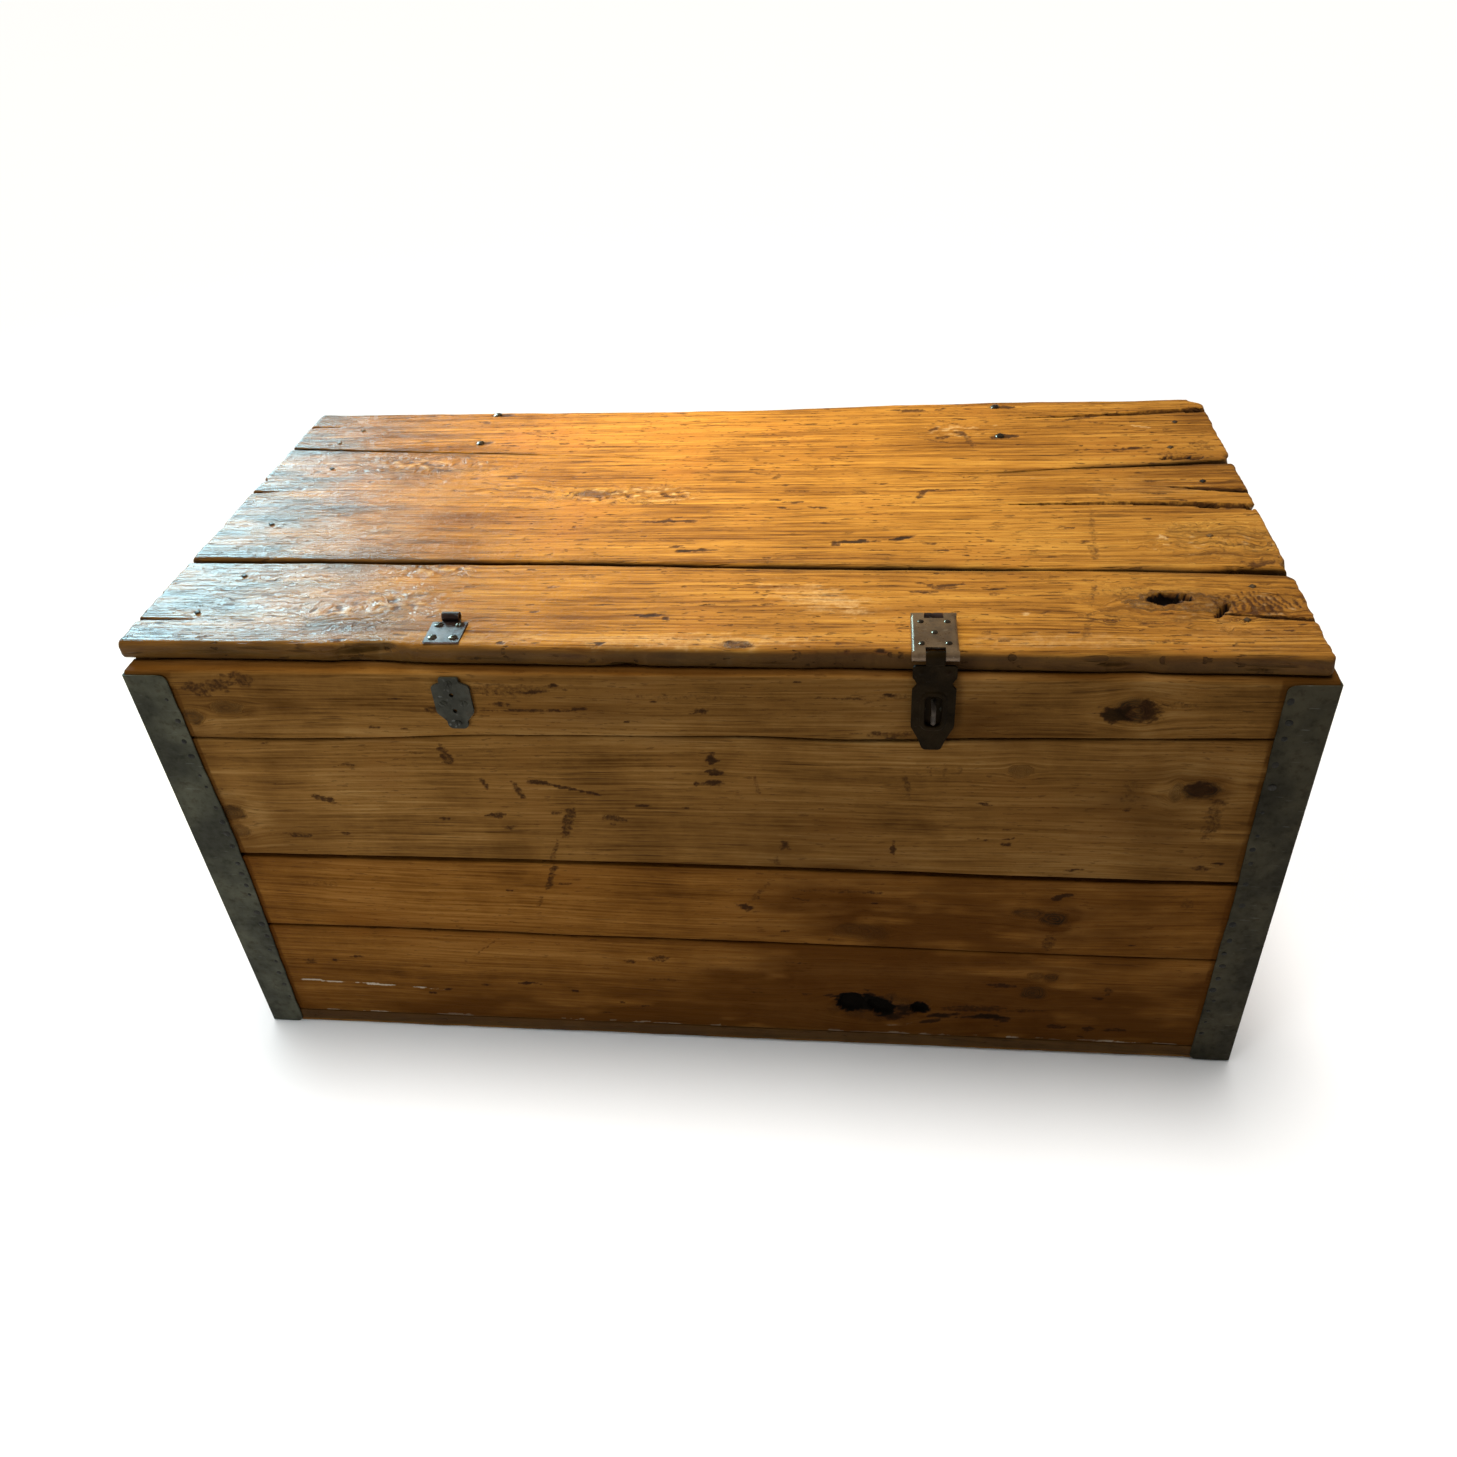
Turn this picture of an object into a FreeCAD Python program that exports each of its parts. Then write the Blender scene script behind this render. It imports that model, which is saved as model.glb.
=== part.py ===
import FreeCAD, Part
import math
import os

# Plank trunk. X runs along the front, Y from the front to the back, Z up from the floor.
# The origin is on the floor under the middle of the box. Lengths are in millimetres.

# Nails, screws and rivets have few flat sides, because there are many. The crown share is the width of
# the top of a head, the point share the width of the end of a shank. Each size of fastener below is
# its head radius, head height, shank radius and shank length.
nail_sides = 4
nail_crown_share = 0.6
nail_point_share = 0.3
screw_sides = 6
screw_crown_share = 0.55
screw_point_share = 0.3
rivet_sides = 8
rivet_crown_share = 0.5
rivet_point_share = 1.0

# Box of boards
trunk_length = 1000.0
trunk_depth = 500.0
trunk_height = 461.0
wall_thickness = 22.0
bottom_thickness = 18.0
arris_radius = 1.5
rim_radius = 4.0
front_joint_gaps = (1.5, 4.0, 1.5)
front_left_shares = (0.296, 0.516, 0.839)
front_right_shares = (0.284, 0.506, 0.871)
back_joint_gaps = (2.0, 2.0)
back_left_shares = (0.335, 0.655)
back_right_shares = (0.350, 0.640)
end_joint_gaps = (2.0, 2.0)
end_front_shares = (0.300, 0.610)
end_back_shares = (0.315, 0.600)
bottom_joint_gaps = (2.0, 2.0)
bottom_left_shares = (0.350, 0.690)
bottom_right_shares = (0.340, 0.680)

# Corner posts inside the box
post_width = 36.0
post_chamfer = 9.0
post_rim_drop = 34.0

# Sheet-steel angle straps on the corners
strap_flange = 38.0
strap_sheet = 1.2
strap_bend_radius = 1.8
strap_corner_radius = 6.0
strap_rim_drop = 3.0
strap_floor_gap = 1.0

# Lid of three tapered boards on two battens
lid_shortfall = 3.0
lid_shift = -9.0
lid_thickness = 18.0
lid_seat_gap = 0.5
lid_left_setback = 22.0
lid_right_setback = 6.0
lid_back_overhang = 12.0
lid_joint_gaps = (6.0, 2.5)
lid_left_shares = (0.277, 0.789)
lid_right_shares = (0.249, 0.672)
lid_arris_radius = 2.5
lid_front_radius = 6.0
lid_split_boards = ("lid_board_back", "lid_board_middle", "lid_board_front", "lid_board_front")
lid_split_ends = (1, 1, 1, -1)
lid_split_place_shares = (0.78, 0.55, 0.41, 0.42)
lid_split_lengths = (150.0, 170.0, 57.0, 34.0)
lid_split_mouths = (6.0, 5.0, 2.5, 3.0)
lid_split_drifts = (-12.0, 9.0, 7.0, 3.0)
batten_width = 44.0
batten_thickness = 20.0
batten_wall_clearance = 8.0
batten_nail_shares = (0.3, 0.82)
batten_nail_stagger = 8.0
batten_nail_bite_share = 0.8
batten_nail_size = (3.4, 1.0, 1.4, lid_thickness + batten_nail_bite_share * batten_thickness)

# Strap hinges at the back: one leaf under the lid, one on the back of the box
hinge_spacing_share = 0.564
hinge_width = 34.0
hinge_leaf = 3.0
hinge_pin_radius = 3.0
hinge_pin_fit = 0.06
hinge_pin_head_radius = 4.4
hinge_pin_head_length = 2.0
hinge_knuckle_radius = 5.5
hinge_centre_width = 12.0
hinge_knuckle_gap = 0.4
hinge_barrel_clearance = 0.4
hinge_gain_clearance = 0.6
hinge_strap_length = 116.0
hinge_strap_tip_width = 20.0
hinge_strap_tip_radius = 9.0
hinge_back_leaf_height = 72.0
hinge_back_leaf_radius = 8.0
hinge_rivet_insets = (15.0, 92.0)
hinge_screw_drops = (22.0, 40.0, 58.0)
hinge_rivet_size = (5.0, 2.0, 2.5, lid_thickness + hinge_leaf)
hinge_screw_size = (4.2, 1.8, 2.0, 18.0)

# Hasps. The right one is whole: base plate, cover leaf, two pins, slotted strap, staple on its plate.
# The left one has lost its cover leaf, pins, strap and staple.
hasp_place_share = 0.191
hasp_base_left_share = -0.2175
hasp_staple_left_share = -0.21
hasp_sheet = 1.6
hasp_pin_radius = 2.0
hasp_pin_fit = 0.06
hasp_knuckle_radius = 4.0
hasp_knuckle_gap = 0.4
hasp_barrel_clearance = 0.4
hasp_centre_width = 15.0
hasp_cover_width = 37.0
hasp_cover_length = 56.5
hasp_cover_corner_radius = 3.0
hasp_cover_lid_gap = 0.8
hasp_notch_room = 2.5
hasp_rivet_spacing_across = 21.5
hasp_rivet_spacing_along = 32.0
hasp_rivet_size = (2.6, 1.5, 1.4, hasp_sheet)
hasp_base_width = 31.0
hasp_base_length = 36.0
hasp_screw_spacing_across = 18.0
hasp_screw_spacing_along = 20.0
hasp_screw_edge_inset = 7.0
hasp_screw_size = (4.0, 1.8, 1.7, 14.0)

# Slotted strap of the hasp, in widths and in drops below its pin
blade_sheet = 1.8
blade_plate_gap = 2.2
blade_width = 35.0
blade_shoulder_drop = 6.5
blade_shoulder_radius = 3.0
blade_neck_width = 26.5
blade_neck_start_drop = 18.5
blade_neck_top_drop = 22.0
blade_neck_bottom_drop = 25.0
blade_neck_end_drop = 29.5
blade_neck_radius = 2.0
blade_waist_drop = 67.0
blade_waist_radius = 10.0
blade_foot_width = 23.0
blade_foot_drop = 79.0
blade_foot_radius = 4.0
blade_tip_width = 15.0
blade_tip_drop = 90.5
blade_tip_radius = 4.0
slot_width = 13.0
slot_start_drop = 36.0
slot_end_drop = 66.0
slot_corner_radius = 4.0

# Staple and its plate, in widths and in rises above and falls below the middle of the staple
staple_wire_radius = 2.0
staple_leg_spacing = 16.5
staple_projection = 13.5
staple_bend_radius = 4.5
plate_sheet = 2.0
plate_width = 33.0
plate_neck_width = 17.0
plate_foot_width = 18.0
plate_top_rise = 26.0
plate_neck_rise = 20.5
plate_shoulder_rise = 17.0
plate_waist_fall = 10.0
plate_ankle_fall = 19.0
plate_foot_fall = 27.0
plate_crook_radius = 2.0
plate_shoulder_radius = 4.0
plate_waist_radius = 6.0
plate_foot_radius = 5.0
plate_top_screw_rise = 20.0
plate_side_screw_spacing = 18.0
plate_foot_screw_fall = 21.0
plate_screw_size = (3.4, 1.2, 1.6, 14.0)

# Drop handles on the ends, each held by two clips
handle_rod_radius = 4.0
handle_height_share = 0.74
handle_leg_spacing = 120.0
handle_drop = 62.0
handle_bend_radius = 9.0
handle_pivot_length = 30.0
handle_wall_gap = 0.4
clip_fit = 0.08
clip_sheet = 2.0
clip_width = 14.0
clip_height = 46.0
clip_screw_spacing = 32.0
clip_screw_size = (3.6, 1.6, 1.8, 16.0)

# Steps in each bend of a wire or bar
bend_steps = 4

# How far a cut runs past the face that it leaves
overrun = 2.0

# Places that follow from the sizes
half_length = trunk_length / 2
half_depth = trunk_depth / 2
inner_half_length = half_length - wall_thickness
inner_half_depth = half_depth - wall_thickness
lid_length = trunk_length - lid_shortfall
lid_left = lid_shift - lid_length / 2
lid_right = lid_shift + lid_length / 2
lid_back = half_depth + lid_back_overhang
lid_underside = trunk_height + lid_seat_gap
lid_top = lid_underside + lid_thickness
batten_place = inner_half_length - batten_wall_clearance - batten_width / 2
hinge_reach = hinge_spacing_share * half_length
hinge_places = (lid_shift - hinge_reach, lid_shift + hinge_reach)
hinge_axis_y = half_depth + hinge_knuckle_radius + hinge_barrel_clearance
hinge_axis_z = lid_underside - hinge_knuckle_radius - hinge_barrel_clearance
hasp_place = hasp_place_share * trunk_length
hasp_base_left_place = hasp_base_left_share * trunk_length
hasp_staple_left_place = hasp_staple_left_share * trunk_length
blade_front = -half_depth - plate_sheet - blade_plate_gap - blade_sheet
hasp_front_y = blade_front + hasp_knuckle_radius
hasp_back_y = hasp_front_y + hasp_cover_length
hasp_axis_z = lid_top + hasp_knuckle_radius + hasp_barrel_clearance
staple_z = hasp_axis_z - (slot_start_drop + slot_end_drop) / 2
handle_height = handle_height_share * trunk_height

right = FreeCAD.Vector(1, 0, 0)
rear = FreeCAD.Vector(0, 1, 0)
up = FreeCAD.Vector(0, 0, 1)
sides = (("left", -1), ("right", 1))
nail = (nail_sides, nail_crown_share, nail_point_share)
screw = (screw_sides, screw_crown_share, screw_point_share)
rivet = (rivet_sides, rivet_crown_share, rivet_point_share)


def block(low, high):
    """A box from its lowest to its highest corner."""
    return Part.makeBox(*[last - first for first, last in zip(low, high)], FreeCAD.Vector(*low))


def rounded_wire(corners, place):
    """A closed outline through (u, v, radius) corners, each rounded by a tangent arc of its radius."""
    joins = []
    for index, (u, v, radius) in enumerate(corners):
        corner = FreeCAD.Vector(u, v, 0)
        before = (FreeCAD.Vector(*corners[index - 1][:2], 0) - corner).normalize()
        after = (FreeCAD.Vector(*corners[(index + 1) % len(corners)][:2], 0) - corner).normalize()
        half_angle = before.getAngle(after) / 2
        reach = radius / math.tan(half_angle)
        crown = corner + (before + after).normalize() * (radius / math.sin(half_angle) - radius)
        joins.append([place(point.x, point.y) for point in (corner + before * reach, crown, corner + after * reach)])
    edges = []
    for index, (start, crown, stop) in enumerate(joins):
        if corners[index][2]:
            edges.append(Part.Arc(start, crown, stop).toShape())
        edges.append(Part.makeLine(stop, joins[(index + 1) % len(joins)][0]))
    return Part.Wire(edges)


def sheet(corners, place, through):
    """A flat piece with a rounded outline, as thick as the vector through."""
    return Part.Face(rounded_wire(corners, place)).extrude(through)


def mirrored(corners):
    """The closed outline of a shape whose right half is given from its top to its bottom."""
    return corners + [(-u, v, radius) for u, v, radius in reversed(corners)]


def rod(radius, start, stop):
    """A round bar between two points."""
    run = stop - start
    return Part.makeCylinder(radius, run.Length, start, run)


def bent_rod(radius, points, bend_radius):
    """A round bar along straight runs. Each bend between them is a row of short mitred steps on an arc."""
    path = points[:1]
    for before, corner, after in zip(points, points[1:], points[2:]):
        back = (before - corner).normalize()
        onward = (after - corner).normalize()
        angle = back.getAngle(onward)
        centre = corner + (back + onward).normalize() * (bend_radius / math.sin(angle / 2))
        start = corner + back * (bend_radius / math.tan(angle / 2)) - centre
        swing = math.degrees(math.pi - angle) / bend_steps
        for step in range(bend_steps + 1):
            path.append(centre + FreeCAD.Rotation(onward.cross(back), step * swing).multVec(start))
    path += points[-1:]
    section = Part.Wire(Part.makeCircle(radius, points[0], points[1] - points[0]))
    right_corners = 1
    return Part.makePolygon(path).makePipeShell([section], True, False, right_corners)


def eased(solid, radius, chosen):
    """The solid with the edges that the test chooses worn round."""
    return solid.makeFillet(radius, [edge for edge in solid.Edges if chosen(edge)])


def lies_at(edge, axis, value):
    """Whether both ends of an edge have this coordinate."""
    return all(math.isclose(getattr(vertex, axis), value, abs_tol=1e-6) for vertex in edge.Vertexes)


def frustum(low_radius, high_radius, low, high, side_count):
    """A straight or tapered pin with flat sides between two heights."""
    turns = [2 * math.pi * side / side_count for side in range(side_count)]
    rings = []
    for radius, height in ((low_radius, low), (high_radius, high)):
        rings.append(
            [FreeCAD.Vector(radius * math.cos(turn), radius * math.sin(turn), height) for turn in turns]
        )
    outlines = rings[:]
    for side in range(side_count):
        outlines.append([rings[0][side - 1], rings[0][side], rings[1][side], rings[1][side - 1]])
    faces = [Part.Face(Part.makePolygon(outline + outline[:1])) for outline in outlines]
    return Part.Solid(Part.Shell(faces))


def fasteners(kind, size, points, outward):
    """A group of like nails, screws or rivets, driven in at these points with their heads outward."""
    side_count, crown_share, point_share = kind
    head_radius, head_height, shank_radius, shank_length = size
    head = frustum(head_radius, crown_share * head_radius, 0, head_height, side_count)
    shank = frustum(point_share * shank_radius, shank_radius, -shank_length, 0, side_count)
    pattern = head.fuse(shank)
    turn = FreeCAD.Rotation(up, outward)
    group = []
    for point in points:
        driven = pattern.copy()
        driven.Placement = FreeCAD.Placement(point, turn)
        group.append(driven)
    return group


def plank_outlines(span, low, high, shares, gaps):
    """The corners of each board of a panel. Edges and joint shares are given at both ends of the run."""
    ends = []
    for low_edge, high_edge, end_shares in zip(low, high, shares):
        joints = [low_edge + share * (high_edge - low_edge) for share in end_shares]
        starts = [low_edge] + [joint + gap / 2 for joint, gap in zip(joints, gaps)]
        stops = [joint - gap / 2 for joint, gap in zip(joints, gaps)] + [high_edge]
        ends.append(list(zip(starts, stops)))
    outlines = []
    for first, last in zip(*ends):
        outlines.append([(span[0], first[0]), (span[1], last[0]), (span[1], last[1]), (span[0], first[1])])
    return outlines


def plank_edges(outline, along):
    """The low and the high edge of a board at a place along its run."""
    (start, low_first), (stop, low_last), (_, high_last), (_, high_first) = outline
    part = (along - start) / (stop - start)
    return low_first + part * (low_last - low_first), high_first + part * (high_last - high_first)


def plank(corners, place, through):
    """A sawn board with straight edges."""
    points = [place(*corner) for corner in corners]
    return Part.Face(Part.makePolygon(points + points[:1])).extrude(through)


def wall(names, run, shares, gaps, place, through, outer_axis):
    """The boards of one wall, from the bottom up, with worn outer edges and a round rim."""
    heights = (bottom_thickness, bottom_thickness), (trunk_height, trunk_height)
    outlines = plank_outlines((-run / 2, run / 2), *heights, shares, gaps)
    outer = getattr(place(0, 0), outer_axis.lower())

    def at_rim(edge):
        return edge.Length > run / 2 and lies_at(edge, "Z", trunk_height)

    def at_face(edge):
        return edge.Length > run / 2 and lies_at(edge, outer_axis, outer) and not at_rim(edge)

    boards = {}
    for name, outline in zip(names, outlines):
        boards[name] = eased(plank(outline, place, through), arris_radius, at_face)
    boards[names[-1]] = eased(boards[names[-1]], rim_radius, at_rim)
    return boards


def walls():
    """The front, the back and the two ends, which stand between the front and the back."""
    boards = wall(
        ["front_board_bottom", "front_board_lower", "front_board_upper", "front_board_top"],
        trunk_length, (front_left_shares, front_right_shares), front_joint_gaps,
        lambda along, height: FreeCAD.Vector(along, -half_depth, height), rear * wall_thickness, "Y",
    )
    boards |= wall(
        ["back_board_bottom", "back_board_middle", "back_board_top"],
        trunk_length, (back_left_shares, back_right_shares), back_joint_gaps,
        lambda along, height: FreeCAD.Vector(along, half_depth, height), rear * -wall_thickness, "Y",
    )
    for side, sign in sides:
        boards |= wall(
            [side + "_end_board_bottom", side + "_end_board_middle", side + "_end_board_top"],
            2 * inner_half_depth, (end_front_shares, end_back_shares), end_joint_gaps,
            lambda along, height: FreeCAD.Vector(sign * half_length, along, height),
            right * (-sign * wall_thickness), "X",
        )
    return boards


def bottom():
    """Three boards under the walls."""
    outlines = plank_outlines(
        (-half_length, half_length), (-half_depth, -half_depth), (half_depth, half_depth),
        (bottom_left_shares, bottom_right_shares), bottom_joint_gaps,
    )
    pieces = {}
    for name, outline in zip(("front", "middle", "back"), outlines):
        pieces["bottom_board_" + name] = plank(outline, FreeCAD.Vector, up * bottom_thickness)
    return pieces


def corner_posts():
    """Square posts in the inner corners, chamfered on the inside and short enough to clear the battens."""
    chamfer_start = post_width - post_chamfer
    section = [
        (0, 0, 0), (post_width, 0, 0), (post_width, chamfer_start, 0), (chamfer_start, post_width, 0),
        (0, post_width, 0),
    ]
    posts = {}
    for row, y_sign in (("front", -1), ("back", 1)):
        for side, x_sign in sides:

            def place(u, v):
                x = x_sign * (inner_half_length - u)
                return FreeCAD.Vector(x, y_sign * (inner_half_depth - v), bottom_thickness)

            height = trunk_height - post_rim_drop - bottom_thickness
            posts["corner_post_" + row + "_" + side] = sheet(section, place, up * height)
    return posts


def corner_straps():
    """Bent steel angles over the corners."""
    height = trunk_height - strap_rim_drop - strap_floor_gap
    section = [
        (-strap_sheet, -strap_sheet, strap_bend_radius), (strap_flange, -strap_sheet, 0), (strap_flange, 0, 0),
        (0, 0, 0), (0, strap_flange, 0), (-strap_sheet, strap_flange, 0),
    ]
    pieces = {}
    for row, y_sign in (("front", -1), ("back", 1)):
        for side, x_sign in sides:

            def place(u, v):
                return FreeCAD.Vector(x_sign * (half_length - u), y_sign * (half_depth - v), strap_floor_gap)

            def at_free_corner(edge):
                at_end = lies_at(edge, "X", x_sign * (half_length - strap_flange))
                at_side = lies_at(edge, "Y", y_sign * (half_depth - strap_flange))
                return (at_end or at_side) and math.isclose(edge.Length, strap_sheet)

            angle = sheet(section, place, up * height)
            pieces["corner_strap_" + row + "_" + side] = eased(angle, strap_corner_radius, at_free_corner)
    return pieces


def split_wedge(outline, sign, share, length, mouth, drift):
    """The open wedge of a split that runs into a board of the lid from one end."""
    end = lid_right if sign > 0 else lid_left
    low, high = plank_edges(outline, end)
    middle = low + share * (high - low)
    outside = end + sign * overrun
    corners = [(outside, middle - mouth / 2), (outside, middle + mouth / 2), (end - sign * length, middle + drift)]
    base = lid_underside - overrun
    return plank(corners, lambda x, y: FreeCAD.Vector(x, y, base), up * (lid_thickness + 2 * overrun))


def lid():
    """Three tapered boards with worn edges and split ends, and the battens and nails that join them."""
    outlines = dict(zip(
        ["lid_board_front", "lid_board_middle", "lid_board_back"],
        plank_outlines(
            (lid_left, lid_right),
            (lid_left_setback - half_depth, lid_right_setback - half_depth), (lid_back, lid_back),
            (lid_left_shares, lid_right_shares), lid_joint_gaps,
        ),
    ))
    front_edge = lid_left_setback - half_depth

    def at_front(edge):
        return edge.Length > lid_length / 2 and all(vertex.Y <= front_edge for vertex in edge.Vertexes)

    def at_top(edge):
        return edge.Length > lid_length / 2 and lies_at(edge, "Z", lid_top) and not at_front(edge)

    pieces = {}
    for name, outline in outlines.items():
        board = plank(outline, lambda x, y: FreeCAD.Vector(x, y, lid_underside), up * lid_thickness)
        pieces[name] = eased(board, lid_arris_radius, at_top)
    pieces["lid_board_front"] = eased(pieces["lid_board_front"], lid_front_radius, at_front)
    splits = zip(
        lid_split_boards, lid_split_ends, lid_split_place_shares, lid_split_lengths, lid_split_mouths,
        lid_split_drifts,
    )
    for name, *split in splits:
        pieces[name] = pieces[name].cut(split_wedge(outlines[name], *split))
    reach = inner_half_depth - batten_wall_clearance
    nail_points = []
    for side, sign in sides:
        middle = sign * batten_place
        pieces["lid_batten_" + side] = block(
            (middle - batten_width / 2, -reach, lid_underside - batten_thickness),
            (middle + batten_width / 2, reach, lid_underside),
        )
        for outline in outlines.values():
            for share, turn in zip(batten_nail_shares, (-1, 1)):
                x = middle + turn * batten_nail_stagger
                low, high = plank_edges(outline, x)
                start = max(low, -reach)
                stop = min(high, reach)
                nail_points.append(FreeCAD.Vector(x, start + share * (stop - start), lid_top))
    pieces["lid_batten_nails"] = fasteners(nail, batten_nail_size, nail_points, up)
    return pieces


def knuckles(radius, bore, y, z, spans):
    """Rolled knuckles along X about one axis, and the bar that bores them."""
    rolls = []
    for start, stop in spans:
        rolls.append(rod(radius, FreeCAD.Vector(start, y, z), FreeCAD.Vector(stop, y, z)))
    first = min(start for start, _ in spans) - overrun
    last = max(stop for _, stop in spans) + overrun
    return rolls, rod(bore, FreeCAD.Vector(first, y, z), FreeCAD.Vector(last, y, z))


def outer_spans(middle, width, centre_width, gap):
    """Where the two outer knuckles of a hinge lie, clear of its centre knuckle."""
    inner = centre_width / 2 + gap
    return [(middle - width / 2, middle - inner), (middle + inner, middle + width / 2)]


def hinge(side, middle):
    """A strap hinge: leaf and centre knuckle under the lid, leaf and outer knuckles on the back, and the pin."""
    bore = hinge_pin_radius + hinge_pin_fit
    leaf_end = hinge_knuckle_radius + hinge_knuckle_gap
    half_width = hinge_width / 2
    half_centre = hinge_centre_width / 2

    lid_leaf = sheet(
        mirrored([(half_width, -leaf_end, 0),
                  (hinge_strap_tip_width / 2, -hinge_strap_length, hinge_strap_tip_radius)]),
        lambda u, v: FreeCAD.Vector(middle + u, hinge_axis_y + v, lid_underside), up * -hinge_leaf,
    )
    tongue = block(
        (middle - half_centre, hinge_axis_y - leaf_end, lid_underside - hinge_leaf),
        (middle + half_centre, hinge_axis_y, lid_underside),
    )
    centre = [(middle - half_centre, middle + half_centre)]
    rolls, drill = knuckles(hinge_knuckle_radius, bore, hinge_axis_y, hinge_axis_z, centre)
    lid_leaf = lid_leaf.multiFuse([tongue] + rolls).cut(drill)

    back_leaf = sheet(
        mirrored([(half_width, -leaf_end, 0), (half_width, -hinge_back_leaf_height, hinge_back_leaf_radius)]),
        lambda u, v: FreeCAD.Vector(middle + u, half_depth, hinge_axis_z + v), rear * hinge_leaf,
    )
    spans = outer_spans(middle, hinge_width, hinge_centre_width, hinge_knuckle_gap)
    tongues = [
        block((start, half_depth, hinge_axis_z - leaf_end), (stop, half_depth + hinge_leaf, hinge_axis_z))
        for start, stop in spans
    ]
    rolls, drill = knuckles(hinge_knuckle_radius, bore, hinge_axis_y, hinge_axis_z, spans)
    back_leaf = back_leaf.multiFuse(tongues + rolls).cut(drill)

    ends = [FreeCAD.Vector(middle + sign * half_width, hinge_axis_y, hinge_axis_z) for _, sign in sides]
    pin = rod(hinge_pin_radius, *ends)
    for (_, sign), end in zip(sides, ends):
        pin = pin.fuse(rod(hinge_pin_head_radius, end, end + right * (sign * hinge_pin_head_length)))
    return {
        "hinge_lid_leaf_" + side: lid_leaf,
        "hinge_back_leaf_" + side: back_leaf,
        "hinge_pin_" + side: pin.removeSplitter(),
    }


def hinges():
    """Both hinges, with the rivets through the lid and the screws into the back."""
    pieces = {}
    rivets = []
    screws = []
    for (side, _), middle in zip(sides, hinge_places):
        pieces |= hinge(side, middle)
        rivets += [FreeCAD.Vector(middle, lid_back - inset, lid_top) for inset in hinge_rivet_insets]
        screws += [
            FreeCAD.Vector(middle, half_depth + hinge_leaf, hinge_axis_z - drop) for drop in hinge_screw_drops
        ]
    pieces["hinge_rivets"] = fasteners(rivet, hinge_rivet_size, rivets, up)
    pieces["hinge_screws"] = fasteners(screw, hinge_screw_size, screws, rear)
    return pieces


def hinge_gain(middle):
    """The notch in the rim of the back that lets the lid leaf of a hinge lie flat."""
    reach = hinge_width / 2 + hinge_gain_clearance
    return block(
        (middle - reach, inner_half_depth - overrun, lid_underside - hinge_leaf - hinge_gain_clearance),
        (middle + reach, half_depth + overrun, trunk_height + overrun),
    )


def hasp_base(middle):
    """The screwed plate of a hasp on the lid, with the centre knuckle of its back pin."""
    half_centre = hasp_centre_width / 2
    plate_end = hasp_back_y - hasp_knuckle_radius - hasp_knuckle_gap
    plate = block(
        (middle - hasp_base_width / 2, hasp_back_y - hasp_base_length, lid_top),
        (middle + hasp_base_width / 2, plate_end, lid_top + hasp_sheet),
    )
    tongue = block(
        (middle - half_centre, plate_end, lid_top), (middle + half_centre, hasp_back_y, lid_top + hasp_sheet)
    )
    rolls, drill = knuckles(
        hasp_knuckle_radius, hasp_pin_radius + hasp_pin_fit, hasp_back_y, hasp_axis_z,
        [(middle - half_centre, middle + half_centre)],
    )
    return plate.multiFuse([tongue] + rolls).cut(drill)


def hasp_base_screw_points(middle):
    """Four screws near the corners of a base plate."""
    first = hasp_back_y - hasp_base_length + hasp_screw_edge_inset
    return [
        FreeCAD.Vector(middle + sign * hasp_screw_spacing_across / 2, y, lid_top + hasp_sheet)
        for _, sign in sides for y in (first, first + hasp_screw_spacing_along)
    ]


def hasp_cover():
    """The leaf over the base plate: a folded channel with outer knuckles round both pins."""
    half_width = hasp_cover_width / 2
    top = hasp_axis_z + hasp_knuckle_radius
    floor = lid_top + hasp_cover_lid_gap
    inner_radius = hasp_cover_corner_radius - hasp_sheet
    channel = sheet(
        mirrored([(half_width, top, hasp_cover_corner_radius), (half_width, floor, 0),
                  (half_width - hasp_sheet, floor, 0), (half_width - hasp_sheet, top - hasp_sheet, inner_radius)]),
        lambda u, v: FreeCAD.Vector(hasp_place + u, hasp_front_y, v), rear * hasp_cover_length,
    )
    spans = outer_spans(hasp_place, hasp_cover_width, hasp_centre_width, hasp_knuckle_gap)
    notch = hasp_centre_width / 2 + hasp_knuckle_gap
    notch_depth = hasp_knuckle_radius + hasp_knuckle_gap + hasp_notch_room
    for y, inward in ((hasp_front_y, 1), (hasp_back_y, -1)):
        near, far = sorted((y - inward * overrun, y + inward * notch_depth))
        gap = block((hasp_place - notch, near, floor), (hasp_place + notch, far, top + overrun))
        rolls, drill = knuckles(hasp_knuckle_radius, hasp_pin_radius + hasp_pin_fit, y, hasp_axis_z, spans)
        channel = channel.cut(gap).multiFuse(rolls).cut(drill)
    return channel


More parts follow.
